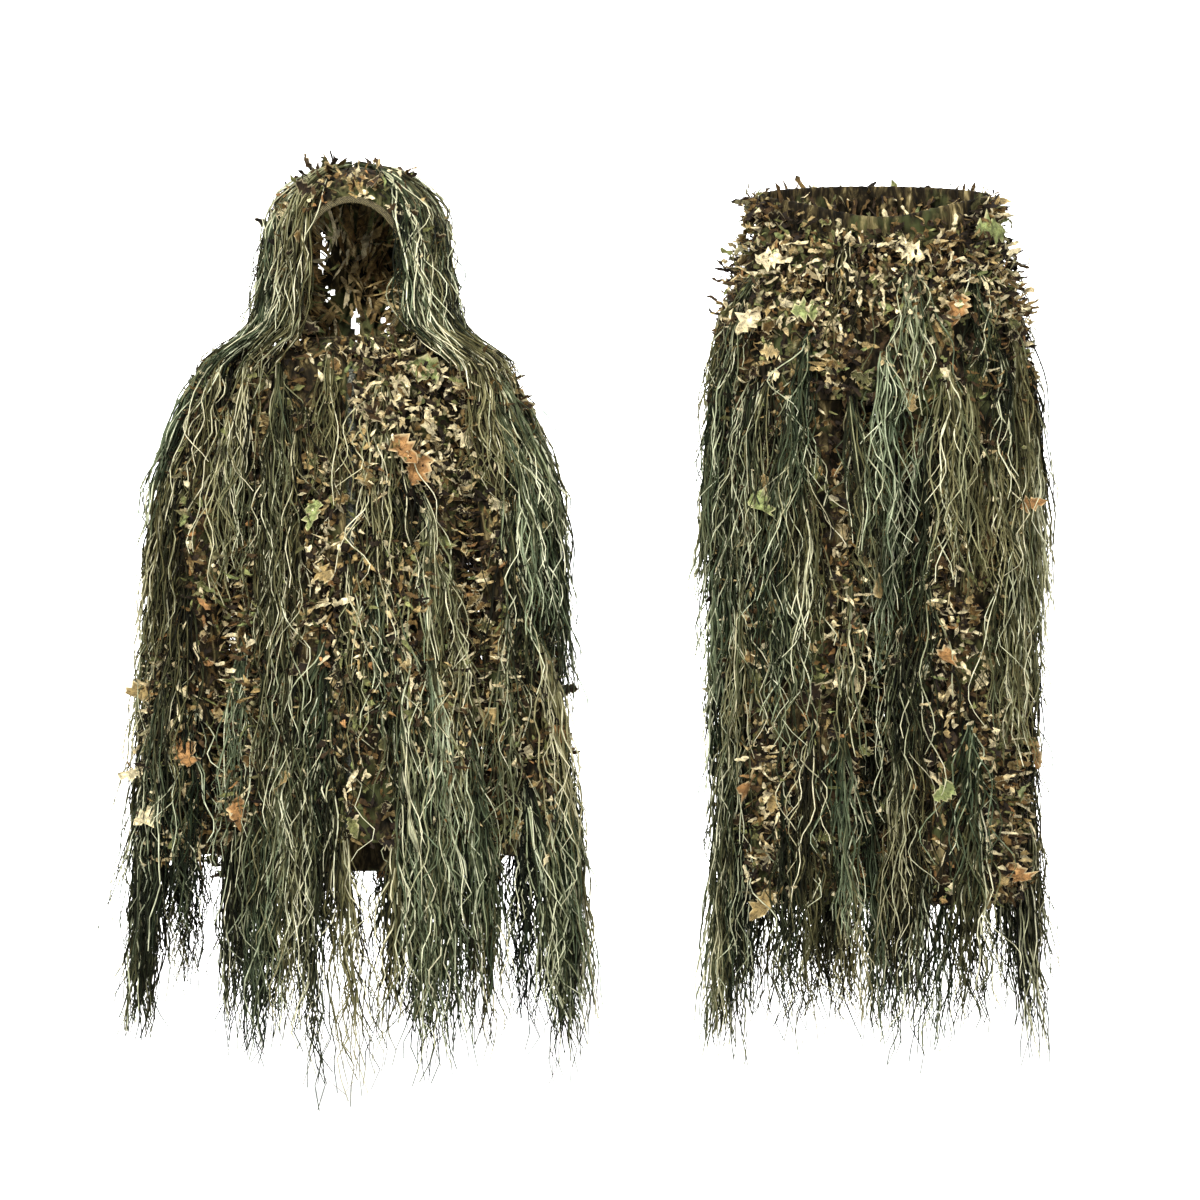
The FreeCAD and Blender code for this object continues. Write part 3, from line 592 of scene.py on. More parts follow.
def slivers(name, table, angle, z, seed, size=1.0, keep=None, streaks=(), inside=None, facing=0.0):
    """Curled slivers over a stretch of a surface, in a deeper layer in its streaks; a facing of 0 is down.

    Given inside, the darkest tone that they may have, they hang inside the surface instead, as long strips;
    that floor paints darker ones paler, as painted light where they hang in shade.
    A streak is (low x, high x, low z, high z, share of pale slivers), seen from the front.
    """
    draw = np.random.default_rng(seed)
    if keep is not None:
        kept = keep(spot(table, angle, z))
        angle, z = angle[kept], z[kept]
    out = draw.uniform(0.0, NAP, len(angle))
    pale = np.zeros(len(angle))
    for x0, x1, z0, z1, share in streaks:
        extra = int((x1 - x0) * (z1 - z0) / SLIVER_AREA)
        x, height = draw.uniform(x0, x1, extra), draw.uniform(z0, z1, extra)
        angle = np.concatenate([angle, angle_of(table, x, height)])
        z = np.concatenate([z, height])
        out = np.concatenate([out, STREAK_DEPTH * draw.uniform(0.05, 1, extra)])
        pale = np.concatenate([pale, np.full(extra, share)])
    count = len(angle)
    length = size * draw.uniform(0.013, 0.034, count)
    width = size * draw.uniform(0.003, 0.010, count)
    tone = flake_tones(draw, count)
    tone = np.where(draw.uniform(0, 1, count) < pale, TONE["cream"] + draw.uniform(-0.09, 0.02, count), tone)
    lift = np.radians(draw.uniform(2, 70, count))
    heading = facing + draw.normal(0, 1.25, count)
    curl = draw.uniform(-2.6, 3.4, count)
    across, up, outward = bearings(table, angle, z)
    if inside:
        out, across, outward = -0.006 - 2 * out, -across, -outward
        length, heading, curl = 1.7 * length, 0.3 * heading, 0.4 * curl
        # darker tones are raised to the floor: painted light on the inside, where there is shade
        tone = np.where(tone < TONE[inside], TONE[inside] + draw.uniform(-0.03, 0.16, count), tone)
    return flakes(name, spot(table, angle, z, out), (across, up, outward), length, width, tone, lift, heading,
                  curl, seed + 1, SLIVERS, 2)


def leaves(name, table, angle, z, seed, accents=(), size=1.0, keep=None):
    """Whole leaves here and there, with the accents among them: (x, height, length, tone, stand-off)."""
    draw = np.random.default_rng(seed)
    if keep is not None:
        kept = keep(spot(table, angle, z))
        angle, z = angle[kept], z[kept]
    count = len(angle)
    length = size * draw.uniform(0.018, 0.036, count)
    tone = flake_tones(draw, count)
    out = draw.uniform(0.001, 0.012, count)
    if accents:
        x, height, long, colour, off = (np.array(v) for v in zip(*accents))
        angle = np.concatenate([angle, angle_of(table, x, height)])
        z = np.concatenate([z, height])
        length = np.concatenate([length, 1.15 * long])
        tone = np.concatenate([tone, [TONE[c] for c in colour]])
        out = np.concatenate([out, off + 0.002])
    count = len(angle)
    width = length * draw.uniform(0.65, 0.95, count)
    lift = draw.uniform(0.0, 0.7, count)
    heading = draw.normal(0, 1.1, count)
    curl = draw.uniform(-1.4, 1.6, count)
    return flakes(name, spot(table, angle, z, out), bearings(table, angle, z), length, width, tone, lift,
                  heading, curl, seed + 1, LEAVES, 5)


# ------------------------------------------------------------------ yarn
STRAND_POINTS, LOCKS = 14, 3
FAMILY_TONES, FAMILY_SHARES = (0.24, 0.38, 0.50, 0.62), (0.20, 0.32, 0.30, 0.18)


def strand_mesh(name, paths, radius, outward, tone, vat, sides=3):
    """Strands as thin tubes: a ring of `sides` points about each point of its path, square to its tangent."""
    count, steps = paths.shape[:2]
    tangent = np.gradient(paths, axis=1)
    tangent /= np.linalg.norm(tangent, axis=-1, keepdims=True) + 1e-9
    first = np.cross(tangent, outward[:, None])
    first /= np.linalg.norm(first, axis=-1, keepdims=True) + 1e-9
    second = np.cross(tangent, first)
    turn = (np.arange(sides) * 2 * np.pi / sides)[None, None, :, None]
    ring = np.cos(turn) * first[:, :, None] + np.sin(turn) * second[:, :, None]
    points = paths[:, :, None] + radius[:, :, None, None] * ring
    base = (np.arange(count) * steps * sides)[:, None]
    root_cap = base + np.arange(sides)[None]
    tip_cap = base + (steps - 1) * sides + np.arange(sides)[None, ::-1]
    attributes = {key: np.broadcast_to(own[..., None], (count, steps, sides))
                  for key, own in (("tone", tone), ("vat", vat[:, None]))}
    return new_mesh(name, points, [grid_faces(count, steps, sides, wrap=True), root_cap, tip_cap], attributes)


def hanging(table, angle, root_z, drop):
    """Outline and height along each strand: it follows the cloth's slope and never turns back in.

    The walk is by arc length along the surface's mean profile, so a strand rooted on the crown first runs
    outwards.
    """
    z_table = table[::-1, 0]
    mean = (table[::-1, 3] + table[::-1, 4]) / 2
    walked = np.concatenate([[0], np.cumsum(np.hypot(np.diff(z_table), np.maximum(np.diff(mean), 0)))])
    start = np.interp(-root_z, -z_table, walked)
    beyond = np.maximum(start[:, None] + drop - walked[-1], 0)
    z = np.interp(start[:, None] + drop, walked, z_table) - beyond
    cx, cy, a, b = outline_at(table, z)
    a, b = np.maximum.accumulate(a, axis=1), np.maximum.accumulate(b, axis=1)
    return cx, cy, a, b, z


def tufts(name, table, angle, root_z, length, seed, per_tuft, spread, flare=0.115, stray=0.20):
    """Tufts of loose strands that hang from their roots, thin at the root and splayed towards the tips.

    A strand's sideways place is u times the spread times its share t to the 0.75, with u drawn round one of
    its tuft's locks, plus the tuft's lean; its stand-off is 3 mm, a bulge near the root, and its layer v times
    the flare times its length so far. To both is added a slow sway and a quicker crimp: sines with the
    strand's own pitch, phase and size.
    """
    draw = np.random.default_rng(seed)
    count = len(angle)
    strands = count * per_tuft
    own = np.repeat(np.arange(count), per_tuft)
    t = np.linspace(0, 1, STRAND_POINTS)[None]
    loose = draw.uniform(0, 1, strands) < stray
    reach = np.where(loose, draw.uniform(0.40, 1.00, strands), draw.uniform(0.50, 1.10, strands) ** 0.7)
    drop = length[own, None] * reach[:, None] * t
    lock = draw.integers(0, LOCKS, strands)
    lock_place = draw.uniform(-1.1, 1.1, (count, LOCKS))[own, lock]
    u = 0.6 * lock_place + np.clip(draw.normal(0, 0.30, strands), -0.9, 0.9)
    u = np.where(loose, 1.4 * u, u)
    v = draw.uniform(0, 1, strands)
    lean = draw.normal(0, 0.045, count)[own]
    cx, cy, a, b, z = hanging(table, angle[own], root_z[own], drop)
    wild = np.where(loose, 2.7, 1.5)[:, None] * (0.6 + 0.7 * t)

    def wave(size, low, high):
        pitch = draw.uniform(low, high, (strands, 1))
        phase = draw.uniform(0, 6.283, (strands, 1))
        scale = size * draw.uniform(0.3, 1.4, (strands, 1))
        return scale * wild * (np.sin(pitch * drop + phase) - np.sin(phase)) * np.minimum(3 * t, 1)

    sideways = (u[:, None] * spread * t ** 0.75 + lean[:, None] * drop
                + wave(0.0056, 14, 32) + wave(0.0038, 45, 88))
    outward = 0.003 + v[:, None] * flare * drop + 0.009 * v[:, None] * np.minimum(6 * t, 1) * (1.2 - t)
    outward = np.maximum(outward + wave(0.0034, 18, 40) + wave(0.0020, 45, 90), 0.0015)
    bearing = angle[own][:, None]
    normal = np.stack([np.sin(bearing) * b[:, :1], -np.cos(bearing) * a[:, :1], 0 * bearing], -1)[:, 0]
    normal /= np.linalg.norm(normal, axis=-1, keepdims=True)
    beside = np.stack([-normal[:, 1], normal[:, 0], 0 * normal[:, 0]], -1)
    centre = np.stack([cx + a * np.sin(bearing), cy - b * np.cos(bearing), z], -1)
    sideways = sideways + draw.normal(0, 0.004, (strands, 1))
    paths = centre + sideways[..., None] * beside[:, None] + outward[..., None] * normal[:, None]
    paths[..., 2] += draw.uniform(-0.008, 0.008, (strands, 1))
    clear = ~in_slit(paths, SLIT_MARGIN["yarn"]).any(1) if table is DRAPE else np.ones(strands, bool)
    thick = draw.uniform(0.0011, 0.0017, strands)[:, None] * np.where(loose, 0.75, 1.0)[:, None]
    radius = thick * (1 - 0.5 * t ** 3) * (1 + 0.12 * np.sin(41 * t + u[:, None] * 9))
    family = draw.choice(FAMILY_TONES, count, p=FAMILY_SHARES)[own]
    # the 0.46 (1 - v) darkens strands in the tufts' inner layers: painted shade within the tufts
    tone = np.clip(family + draw.normal(0, 0.13, strands) - 0.46 * (1 - v), 0, 0.85)
    # pale strands are real pale yarn, but they are made commoner in the outer layer as painted light
    pale = draw.uniform(0, 1, strands) < np.where(loose, 0.60, 0.17) * (0.25 + 0.75 * v)
    # the 0.13 t to the 1.5 paints each strand paler towards its tip: painted light on the hanging fringe
    tone = np.where(pale, draw.uniform(0.72, 0.95, strands), tone)[:, None] + 0.13 * t ** 1.5
    vat = np.clip(draw.beta(0.8, 1.0, count)[own] + draw.normal(0, 0.16, strands), 0, 1)
    return strand_mesh(name, paths[clear], radius[clear], normal[clear], tone[clear], vat[clear])


def rooted(rows, low, high, columns, seed, jitter=0.42):
    """Roots of staggered rows: each row is (height, length); columns run between two angles in degrees."""
    draw = np.random.default_rng(seed)
    angle, z, length = [], [], []
    pitch = (high - low) / columns
    for k, (height, long) in enumerate(rows):
        place = low + pitch * (np.arange(columns) + 0.25 + 0.5 * (k % 2))
        angle.append(np.radians(place + pitch * jitter * draw.uniform(-1, 1, columns)))
        z.append(height + draw.uniform(-0.036, 0.026, columns))
        length.append(long * draw.uniform(0.82, 1.12, columns))
    return np.concatenate(angle), np.concatenate(z), np.concatenate(length)


def leave_bare(table, angle, z, length, streaks, seed):
    """Drops many of the tufts that would hang over a leafy streak; the palest streaks stay clearest."""
    draw = np.random.default_rng(seed)
    point = spot(table, angle, z)
    kept = np.ones(len(angle), bool)
    for x0, x1, z0, z1, pale in streaks:
        covered = np.minimum(z, z1) - np.maximum(z - length, z0)
        hides = (covered > 0.35 * (z1 - z0)) | ((z < z1) & (z > z0))
        hides &= (point[:, 0] > x0) & (point[:, 0] < x1) & (point[:, 1] < 0)
        kept &= ~(hides & (draw.uniform(0, 1, len(angle)) < BARE_SHARE + pale))
    return angle[kept], z[kept], length[kept]


# large leaves in front: x, height, length, tone, stand-off
ACCENTS = {
    "front_right": [(-0.044, -0.243, 0.044, "lime", 0.016), (-0.047, -0.338, 0.040, "tan", 0.020),
                    (-0.147, -0.679, 0.046, "rust", 0.024), (-0.141, -0.300, 0.040, "umber", 0.016),
                    (-0.080, -0.640, 0.034, "tan", 0.020)],
    "front_left": [(0.044, -0.096, 0.046, "brown", 0.014), (0.118, -0.052, 0.046, "lime", 0.016),
                   (0.055, -0.150, 0.050, "rust", 0.020), (0.090, -0.172, 0.052, "rust", 0.022),
                   (0.140, -0.140, 0.044, "cream", 0.016), (0.110, -0.120, 0.040, "cream", 0.018),
                   (0.070, -0.060, 0.040, "cream", 0.016), (0.020, -0.200, 0.036, "tan", 0.016)],
    "sleeve_right": [(-0.254, -0.595, 0.046, "rust", 0.020), (-0.285, -0.520, 0.040, "tan", 0.018),
                     (-0.270, -0.700, 0.046, "cream", 0.020), (-0.292, -0.640, 0.042, "cream", 0.018)],
    "sleeve_left": [(0.225, -0.553, 0.044, "tan", 0.020), (0.284, -0.576, 0.042, "rust", 0.020),
                    (0.281, -0.707, 0.038, "tan", 0.022)],
    "seat_front": [(0.706, 0.037, 0.046, "lime", 0.018), (0.911, 0.160, 0.050, "lime", 0.018),
                   (0.882, 0.056, 0.042, "rust", 0.020), (0.800, 0.130, 0.040, "cream", 0.016),
                   (0.650, 0.120, 0.044, "cream", 0.016), (0.620, 0.040, 0.046, "cream", 0.018)],
    "leg_right": [(0.604, -0.233, 0.044, "lime", 0.022), (0.732, -0.253, 0.040, "tan", 0.020),
                  (0.602, -0.660, 0.044, "rust", 0.022), (0.628, -0.820, 0.046, "tan", 0.020)],
    "leg_left": [(0.794, -0.200, 0.048, "rust", 0.022), (0.970, -0.250, 0.036, "rust", 0.022),
                 (0.804, -0.354, 0.040, "tan", 0.020), (0.888, -0.466, 0.040, "rust", 0.020),
                 (0.960, -0.490, 0.040, "tan", 0.022), (0.984, -0.595, 0.042, "rust", 0.022),
                 (0.889, -0.663, 0.042, "lime", 0.022), (0.974, -0.675, 0.044, "lime", 0.024),
                 (0.955, -0.779, 0.046, "rust", 0.022)],
}

# leafy streaks between the yarn columns in front: low x, high x, low z, high z, share of pale slivers
STREAKS = {
    "front_left": [(0.008, 0.172, -0.235, -0.006, 0.45), (0.045, 0.100, -0.560, -0.300, 0.1),
                   (0.004, 0.030, -0.640, -0.300, 0.15), (0.120, 0.150, -0.640, -0.470, 0.2)],
    "front_right": [(-0.168, -0.120, -0.720, -0.200, 0.12), (-0.060, -0.025, -0.450, -0.180, 0.2),
                    (-0.030, -0.004, -0.620, -0.330, 0.15)],
    "sleeve_right": [(-0.300, -0.235, -0.780, -0.460, 0.35), (-0.240, -0.212, -0.420, -0.200, 0.1)],
    "sleeve_left": [(0.222, 0.252, -0.640, -0.320, 0.25), (0.272, 0.300, -0.770, -0.560, 0.15)],
    "seat_front": [(0.562, 0.996, 0.020, 0.148, 0.30), (0.680, 0.740, -0.085, 0.060, 0.2)],
    "leg_right": [(0.600, 0.650, -0.840, -0.600, 0.2), (0.700, 0.745, -0.520, -0.300, 0.25)],
    "leg_left": [(0.860, 0.905, -0.560, -0.270, 0.3), (0.930, 0.985, -0.830, -0.520, 0.25),
                 (0.780, 0.815, -0.620, -0.400, 0.15)],
}
BARE_SHARE = 0.42               # share of the tufts left off a streak that has no pale slivers
SLIVER_AREA = 0.00006           # the area of a streak per extra sliver


# ------------------------------------------------------------------ trim
SECTION = 12                    # points round a band's section
TAPE_HALF = 0.0006              # half the thickness of the zip's tape in the CAD
# bands: half width and half thickness, or the latter alone where the CAD gives the width; then the gathers
FACE_TAPE, FACE_GATHERS = (0.0050, 0.0024), {"ripple": 0.0012, "ripples": 37}
LOOP_TAPE = (0.004, 0.0008)
NECK_HALF_THICK, ELASTIC_HALF_THICK, ZIP_HALF_THICK = 0.0014, 0.0009, 0.0005
ELASTIC_INSET, ELASTIC_GATHERS = -0.0072, {"closed": True, "ripple": 0.0007, "ripples": 60}
WAIST_GATHERS = 66


def swept(name, path, across, half_width, half_thick, closed=False, ripple=0.0, ripples=0):
    """A flat band carried along a path: a rounded section, sin and cos to the 0.5, with gathers across it."""
    steps = len(path)
    across = np.broadcast_to(across, path.shape)
    tangent = (np.roll(path, -1, 0) - np.roll(path, 1, 0)) if closed else np.gradient(path, axis=0)
    tangent /= np.linalg.norm(tangent, axis=-1, keepdims=True)
    out = np.cross(across, tangent)
    out /= np.linalg.norm(out, axis=-1, keepdims=True)
    wide = np.cross(tangent, out)
    turn = np.arange(SECTION) * 2 * np.pi / SECTION
    c, s = np.cos(turn), np.sin(turn)
    flat = np.sign(c) * np.abs(c) ** 0.5 * half_width
    deep = np.sign(s) * np.abs(s) ** 0.5 * half_thick
    gather = ripple * np.sin(2 * np.pi * ripples * np.arange(steps) / steps)[:, None] * (0.6 + 0.4 * c)[None]
    points = (path[:, None] + flat[None, :, None] * wide[:, None]
              + (deep[None] + gather)[..., None] * out[:, None])
    if closed:
        return new_mesh(name, points, [grid_faces(1, steps + 1, SECTION, wrap=True) % (steps * SECTION)])
    caps = [np.arange(SECTION)[None], (steps - 1) * SECTION + np.arange(SECTION)[None, ::-1]]
    return new_mesh(name, points, [grid_faces(1, steps, SECTION, wrap=True)] + caps)


def hoop(table, z, out, steps=160):
    """Points round a surface at one height."""
    angle = np.linspace(0, 2 * np.pi, steps, endpoint=False)
    return spot(table, angle, np.full(steps, z), out)


# ------------------------------------------------------------------ settings
class ClothSettings(bpy.types.PropertyGroup):
    fold_depth: FloatProperty(name="Fold depth", description="How deep the cloth's folds are",
                              default=0.004, min=0.0, max=0.02, subtype="DISTANCE", unit="LENGTH")


class FlakeSettings(bpy.types.PropertyGroup):
    sliver_gap: FloatProperty(name="Sliver gap", description="Mean distance between neighbouring slivers",
                              default=0.0105, min=0.006, max=0.06, subtype="DISTANCE", unit="LENGTH")
    leaf_gap: FloatProperty(name="Leaf gap", description="Mean distance between neighbouring whole leaves",
                            default=0.040, min=0.01, max=0.2, subtype="DISTANCE", unit="LENGTH")
    size: FloatProperty(name="Flake size", description="Scale of the slivers and leaves",
                        default=1.0, min=0.3, max=3.0, subtype="FACTOR")


class YarnSettings(bpy.types.PropertyGroup):
    per_tuft: IntProperty(name="Strands", description="Strands in each tuft", default=46, min=16, max=60)
    spread: FloatProperty(name="Spread", description="Half width of a tuft at its tip",
                          default=0.034, min=0.005, max=0.08, subtype="DISTANCE", unit="LENGTH")


class StageSettings(bpy.types.PropertyGroup):
    lens: FloatProperty(name="Lens", description="The camera's focal length", default=110.0, min=20, max=300,
                        subtype="DISTANCE_CAMERA", unit="CAMERA")
    floor_drop: FloatProperty(name="Floor drop", description="How far the floor lies under the longest yarn",
                              default=0.03, min=0.0, max=0.5, subtype="DISTANCE", unit="LENGTH")


class GhillieSettings(bpy.types.PropertyGroup):
    cloth: PointerProperty(type=ClothSettings, name="Cloth", description="Sizes of the cloth")
    flakes: PointerProperty(type=FlakeSettings, name="Flakes", description="Sizes of the leaf flakes")
    yarn: PointerProperty(type=YarnSettings, name="Yarn", description="Sizes of the yarn")
    stage: PointerProperty(type=StageSettings, name="Stage", description="Camera and floor")


def settings():
    """The suit's sizes, as the sidebar shows them."""
    return bpy.context.scene.ghillie


SIDES = ((-1, "right"), (1, "left"))
SEAT_HALVES = (("seat_front", -np.pi / 2, np.pi / 2), ("seat_back", np.pi / 2, 3 * np.pi / 2))
SHEETS = {}


# ------------------------------------------------------------------ operators
class GHILLIE_OT_jacket_cloth(bpy.types.Operator):
    """Two fronts and the back, cut at the armholes, with folds."""
    bl_idname = "ghillie.jacket_cloth"
    bl_label = "Jacket cloth"

    def execute(self, context):
        depth = settings().cloth.fold_depth

        def past_seam(z):
            _, _, a, _ = outline_at(BODY, z)
            return np.where(z > ARMPIT_Z, np.arcsin(np.clip(SEAM_X / a, 0, 1)), np.pi / 2)

        def zip_edge(z):
            _, _, a, _ = outline_at(BODY, z)
            return np.arcsin(ZIP_HALF_GAP / a)

        front = panel(BODY, zip_edge, past_seam, FRONT_HEM_Z, 0.0, 11, 36, 76, depth)
        for side, name in SIDES:
            cloth("front_" + name, mirrored(front, side), "jacket", "front_panel_" + name)
        back = panel(BODY, lambda z: np.pi - past_seam(z), lambda z: np.pi + past_seam(z), BACK_HEM_Z, 0.0,
                     12, 70, 80, depth)
        cloth("back", back, "jacket", "back_panel")
        return {"FINISHED"}


def armhole(rows=9, half=24):
    """A short ring of cloth in the armhole: each x step repeats the sleeve's outline at the seam's plane."""
    z = np.linspace(ARMPIT_Z + 0.006, ARM[-1, 0] - 0.008, half)
    cx, _, a, b = outline_at(ARM, z)
    y = 0.95 * b * np.sqrt(np.clip(1 - ((SEAM_X - cx) / a) ** 2, 0.02, 1))
    outline = np.stack([np.concatenate([-y, y[::-1]]), np.concatenate([z, z[::-1]])], -1)
    x = np.linspace(SEAM_X - 0.003, SEAM_X + 0.018, rows)[:, None]
    return np.concatenate([np.broadcast_to(x[..., None], (rows, 2 * half, 1)),
                           np.broadcast_to(outline[None], (rows, 2 * half, 2))], -1)


class GHILLIE_OT_sleeve_cloth(bpy.types.Operator):
    """Two sleeves, each a tube of cloth open at the armhole and the cuff."""
    bl_idname = "ghillie.sleeve_cloth"
    bl_label = "Sleeve cloth"

    def execute(self, context):
        depth = settings().cloth.fold_depth

        def inner(z):
            cx, _, a, _ = outline_at(ARM, z)
            return np.where(z > ARMPIT_Z, np.arcsin(np.clip((SEAM_X - cx) / a, -1, 1)), -np.pi / 2)

        grids = panel(ARM, inner, lambda z: np.pi - inner(z), CUFF_Z, ARM[-1, 0], 21, 48, 70, depth)
        for side, name in SIDES:
            cloth("sleeve_" + name, mirrored(grids, side), "sleeve_" + name, "sleeve_" + name)
            ring = armhole() * [side, 1, 1]
            faces = grid_faces(1, *ring.shape[:2], wrap=True)[:, ::-side]
            piece = new_mesh("armhole_cloth_" + name, ring, [faces])
            seam, inside = ring[0, 0, 0], ring[-1, 0, 0]
            finish_piece(piece, "sleeve_" + name, "cloth",
                         bend=((seam, 0, SHOULDER_Z), (inside, 0, SHOULDER_Z)))
            keep_sheet("armhole_" + name, piece, measured(np.concatenate([ring, ring[:, :1]], 1)), "gathered")
        return {"FINISHED"}


class GHILLIE_OT_hood_cloth(bpy.types.Operator):
    """The hood's middle strip and two sides, open at the face."""
    bl_idname = "ghillie.hood_cloth"
    bl_label = "Hood cloth"

    def execute(self, context):
        def near(z):
            return angle_of(HOOD, np.maximum(face_edge(z), HOOD_SEAM_X), z)

        def far(z):
            return angle_of(HOOD, HOOD_SEAM_X, z, True)

        grids = panel(HOOD, near, far, HOOD_FOOT_Z, crown_height(HOOD_SEAM_X), 22, 56, 70, HOOD_FOLDS)
        for side, name in SIDES:
            cloth("hood_" + name, mirrored(grids, side), "hood", "hood_side_" + name)
        cloth("hood_centre", [grid[::-1] for grid in hood_centre()], "hood", "hood_centre_panel")
        return {"FINISHED"}


class GHILLIE_OT_trouser_cloth(bpy.types.Operator):
    """The seat's front and back, which slope up to the waist, and two legs."""
    bl_idname = "ghillie.trouser_cloth"
    bl_label = "Trouser cloth"

    def execute(self, context):
        depth = settings().cloth.fold_depth
        rows, columns = 40, 72
        for name, low, high in SEAT_HALVES:
            angle = np.linspace(low, high, columns)[None] + np.zeros((rows, 1))
            share = np.linspace(0, 1, rows)[:, None]
            z = LEG_TOP_Z + (waist_rim(angle, RIM_HALF_DEPTH) - LEG_TOP_Z) * share
            grids = spot(SEAT, angle, z), spot(SEAT, angle, z, folds(angle, z, depth, 41))
            cloth(name, grids, "trousers", name)
        for side, name in SIDES:
            leg = shifted(SHANK, TROUSERS_X, side)
            grids = panel(leg, -np.pi, np.pi, LEG_HEM_Z, LEG_TOP_Z, 42 + side, 60, 70, depth)
            cloth("leg_" + name, grids, "trousers", "leg_" + name)
        return {"FINISHED"}


def scatter(table, low, high, z_low, z_high, gap, seed):
    """Evenly random places: one in each cell of a grid measured along the surface, slopes included."""
    draw = np.random.default_rng(seed)
    radius = (table[:, 3] + table[:, 4]) / 2
    steps = np.hypot(np.diff(table[:, 0]), np.diff(radius))
    walked = np.concatenate([[0], np.cumsum(steps)])
    first, last = np.interp([z_low, z_high], table[:, 0], walked)
    rows = int((last - first) / gap)
    angle, z = [], []
    for k in range(rows):
        at = first + (k + draw.uniform(0, 1, 1 + int((high - low) * radius.max() / gap))) * gap
        height = np.interp(at, walked, table[:, 0])
        columns = max(int((high - low) * np.interp(height[0], table[:, 0], radius) / gap), 1)
        angle.append(low + (high - low) * (np.arange(columns) + draw.uniform(0, 1, columns)) / columns)
        z.append(height[:columns])
    return np.concatenate(angle), np.concatenate(z)


class GHILLIE_OT_flakes(bpy.types.Operator):
    """Leaf flakes all over the cloth, with larger leaves on top of the yarn in front."""
    bl_idname = "ghillie.flakes"
    bl_label = "Leaf flakes"

    def execute(self, context):
        own = settings().flakes

        def on_body(point):
            return (np.abs(point[:, 0]) < SEAM_X) | (point[:, 2] < ARMPIT_Z)

        def on_hood(point):
            reach = np.where(point[:, 2] < 0.150, 0.000, BINDING)
            bare = (np.abs(point[:, 0]) < face_edge(point[:, 2], reach)) & (point[:, 1] < 0.02)
            return ~(bare | in_slit(point, SLIT_MARGIN["flakes"]))

        def under_waist(point):
            height = np.where(point[:, 1] < 0, 0.034, 0.040) - waist_dip(-point[:, 1] / FLAKED_HALF_DEPTH)
            return point[:, 2] < WAIST_Z + height + point[:, 1] * math.tan(WAIST_TILT)

        def in_lining(point):
            return ~in_slit(point, SLIT_MARGIN["lining"])

        def add_slivers(name, body, *spec, **more):
            finish_piece(slivers(name, *spec, **more), body, "flakes")

        turn = 2 * np.pi
        plan = []
        for side, name in SIDES:
            half = (-np.pi / 2, 0.0) if side < 0 else (0.0, np.pi / 2)
            plan.append(("front_" + name, "jacket", BODY, *half, FRONT_HEM_Z, -0.006, on_body, 51 + side))
            arm = shifted(ARM, 0, side)
            plan.append(("sleeve_" + name, "sleeve_" + name, arm, 0, turn, CUFF_Z, -0.018,
                         lambda p: np.abs(p[:, 0]) > SEAM_X, 54 + side))
            leg = shifted(SHANK, TROUSERS_X, side)
            plan.append(("leg_" + name, "trousers", leg, 0, turn, LEG_HEM_Z, LEG_TOP_Z, None, 57 + side))
        plan.append(("back", "jacket", BODY, np.pi / 2, 3 * np.pi / 2, BACK_HEM_Z, -0.006, on_body, 60))
        plan.append(("hood_centre", "hood", HOOD, 0, turn, HOOD_FOOT_Z + 0.004, 0.254, on_hood, 61))
        for name, low, high in SEAT_HALVES:
            plan.append((name, "trousers", SEAT, low, high, LEG_TOP_Z, 0.240, under_waist, 62))
        for name, body, table, low, high, z_low, z_high, keep, seed in plan:
            angle, z = scatter(table, low, high, z_low, z_high, own.sliver_gap, seed)
            add_slivers("slivers_" + name, body, table, angle, z, seed, own.size, keep, STREAKS.get(name, ()))
            angle, z = scatter(table, low, high, z_low, z_high, own.leaf_gap, seed + 20)
            piece = leaves("leaves_" + name, table, angle, z, seed, ACCENTS.get(name, ()), own.size, keep)
            finish_piece(piece, body, "flakes")

        draw = np.random.default_rng(66)
        for name, low, high, count, half_depth, above, seed, size, more in (
                ("slivers_waist_rim", 0.9, turn - 0.9, 460, SPIKED_HALF_DEPTH, 0.032, 67, 1.25,
                 {"facing": np.pi}),
                ("lining_waist_rim", np.pi / 2, 3 * np.pi / 2, 170, LINED_HALF_DEPTH, 0.030, 68, 0.8,
                 {"inside": "bark"})):
            angle = draw.uniform(low, high, count)
            z = waist_rim(angle, half_depth, above) + draw.uniform(-0.03, 0.004, count)
            add_slivers(name, "trousers", SEAT, angle, z, seed, size, **more)
        x = np.concatenate([draw.normal(-0.034, 0.007, 9), draw.normal(0.078, 0.006, 7),
                            draw.uniform(-0.070, 0.080, 10)])
        z = crown_height(np.abs(x) + 0.004)
        add_slivers("slivers_crown", "hood", HOOD, angle_of(HOOD, x, z), z, 69, 1.3, facing=np.pi)
        angle, z = scatter(HOOD, np.pi - 1.4, np.pi + 1.4, 0.020, 0.225, own.sliver_gap, 64)
        # the hood's lining slivers are kept no darker than umber: painted light inside the hood
        add_slivers("lining_hood_centre", "hood", HOOD, angle, z, 65, 1.3, in_lining, inside="umber")
        return {"FINISHED"}


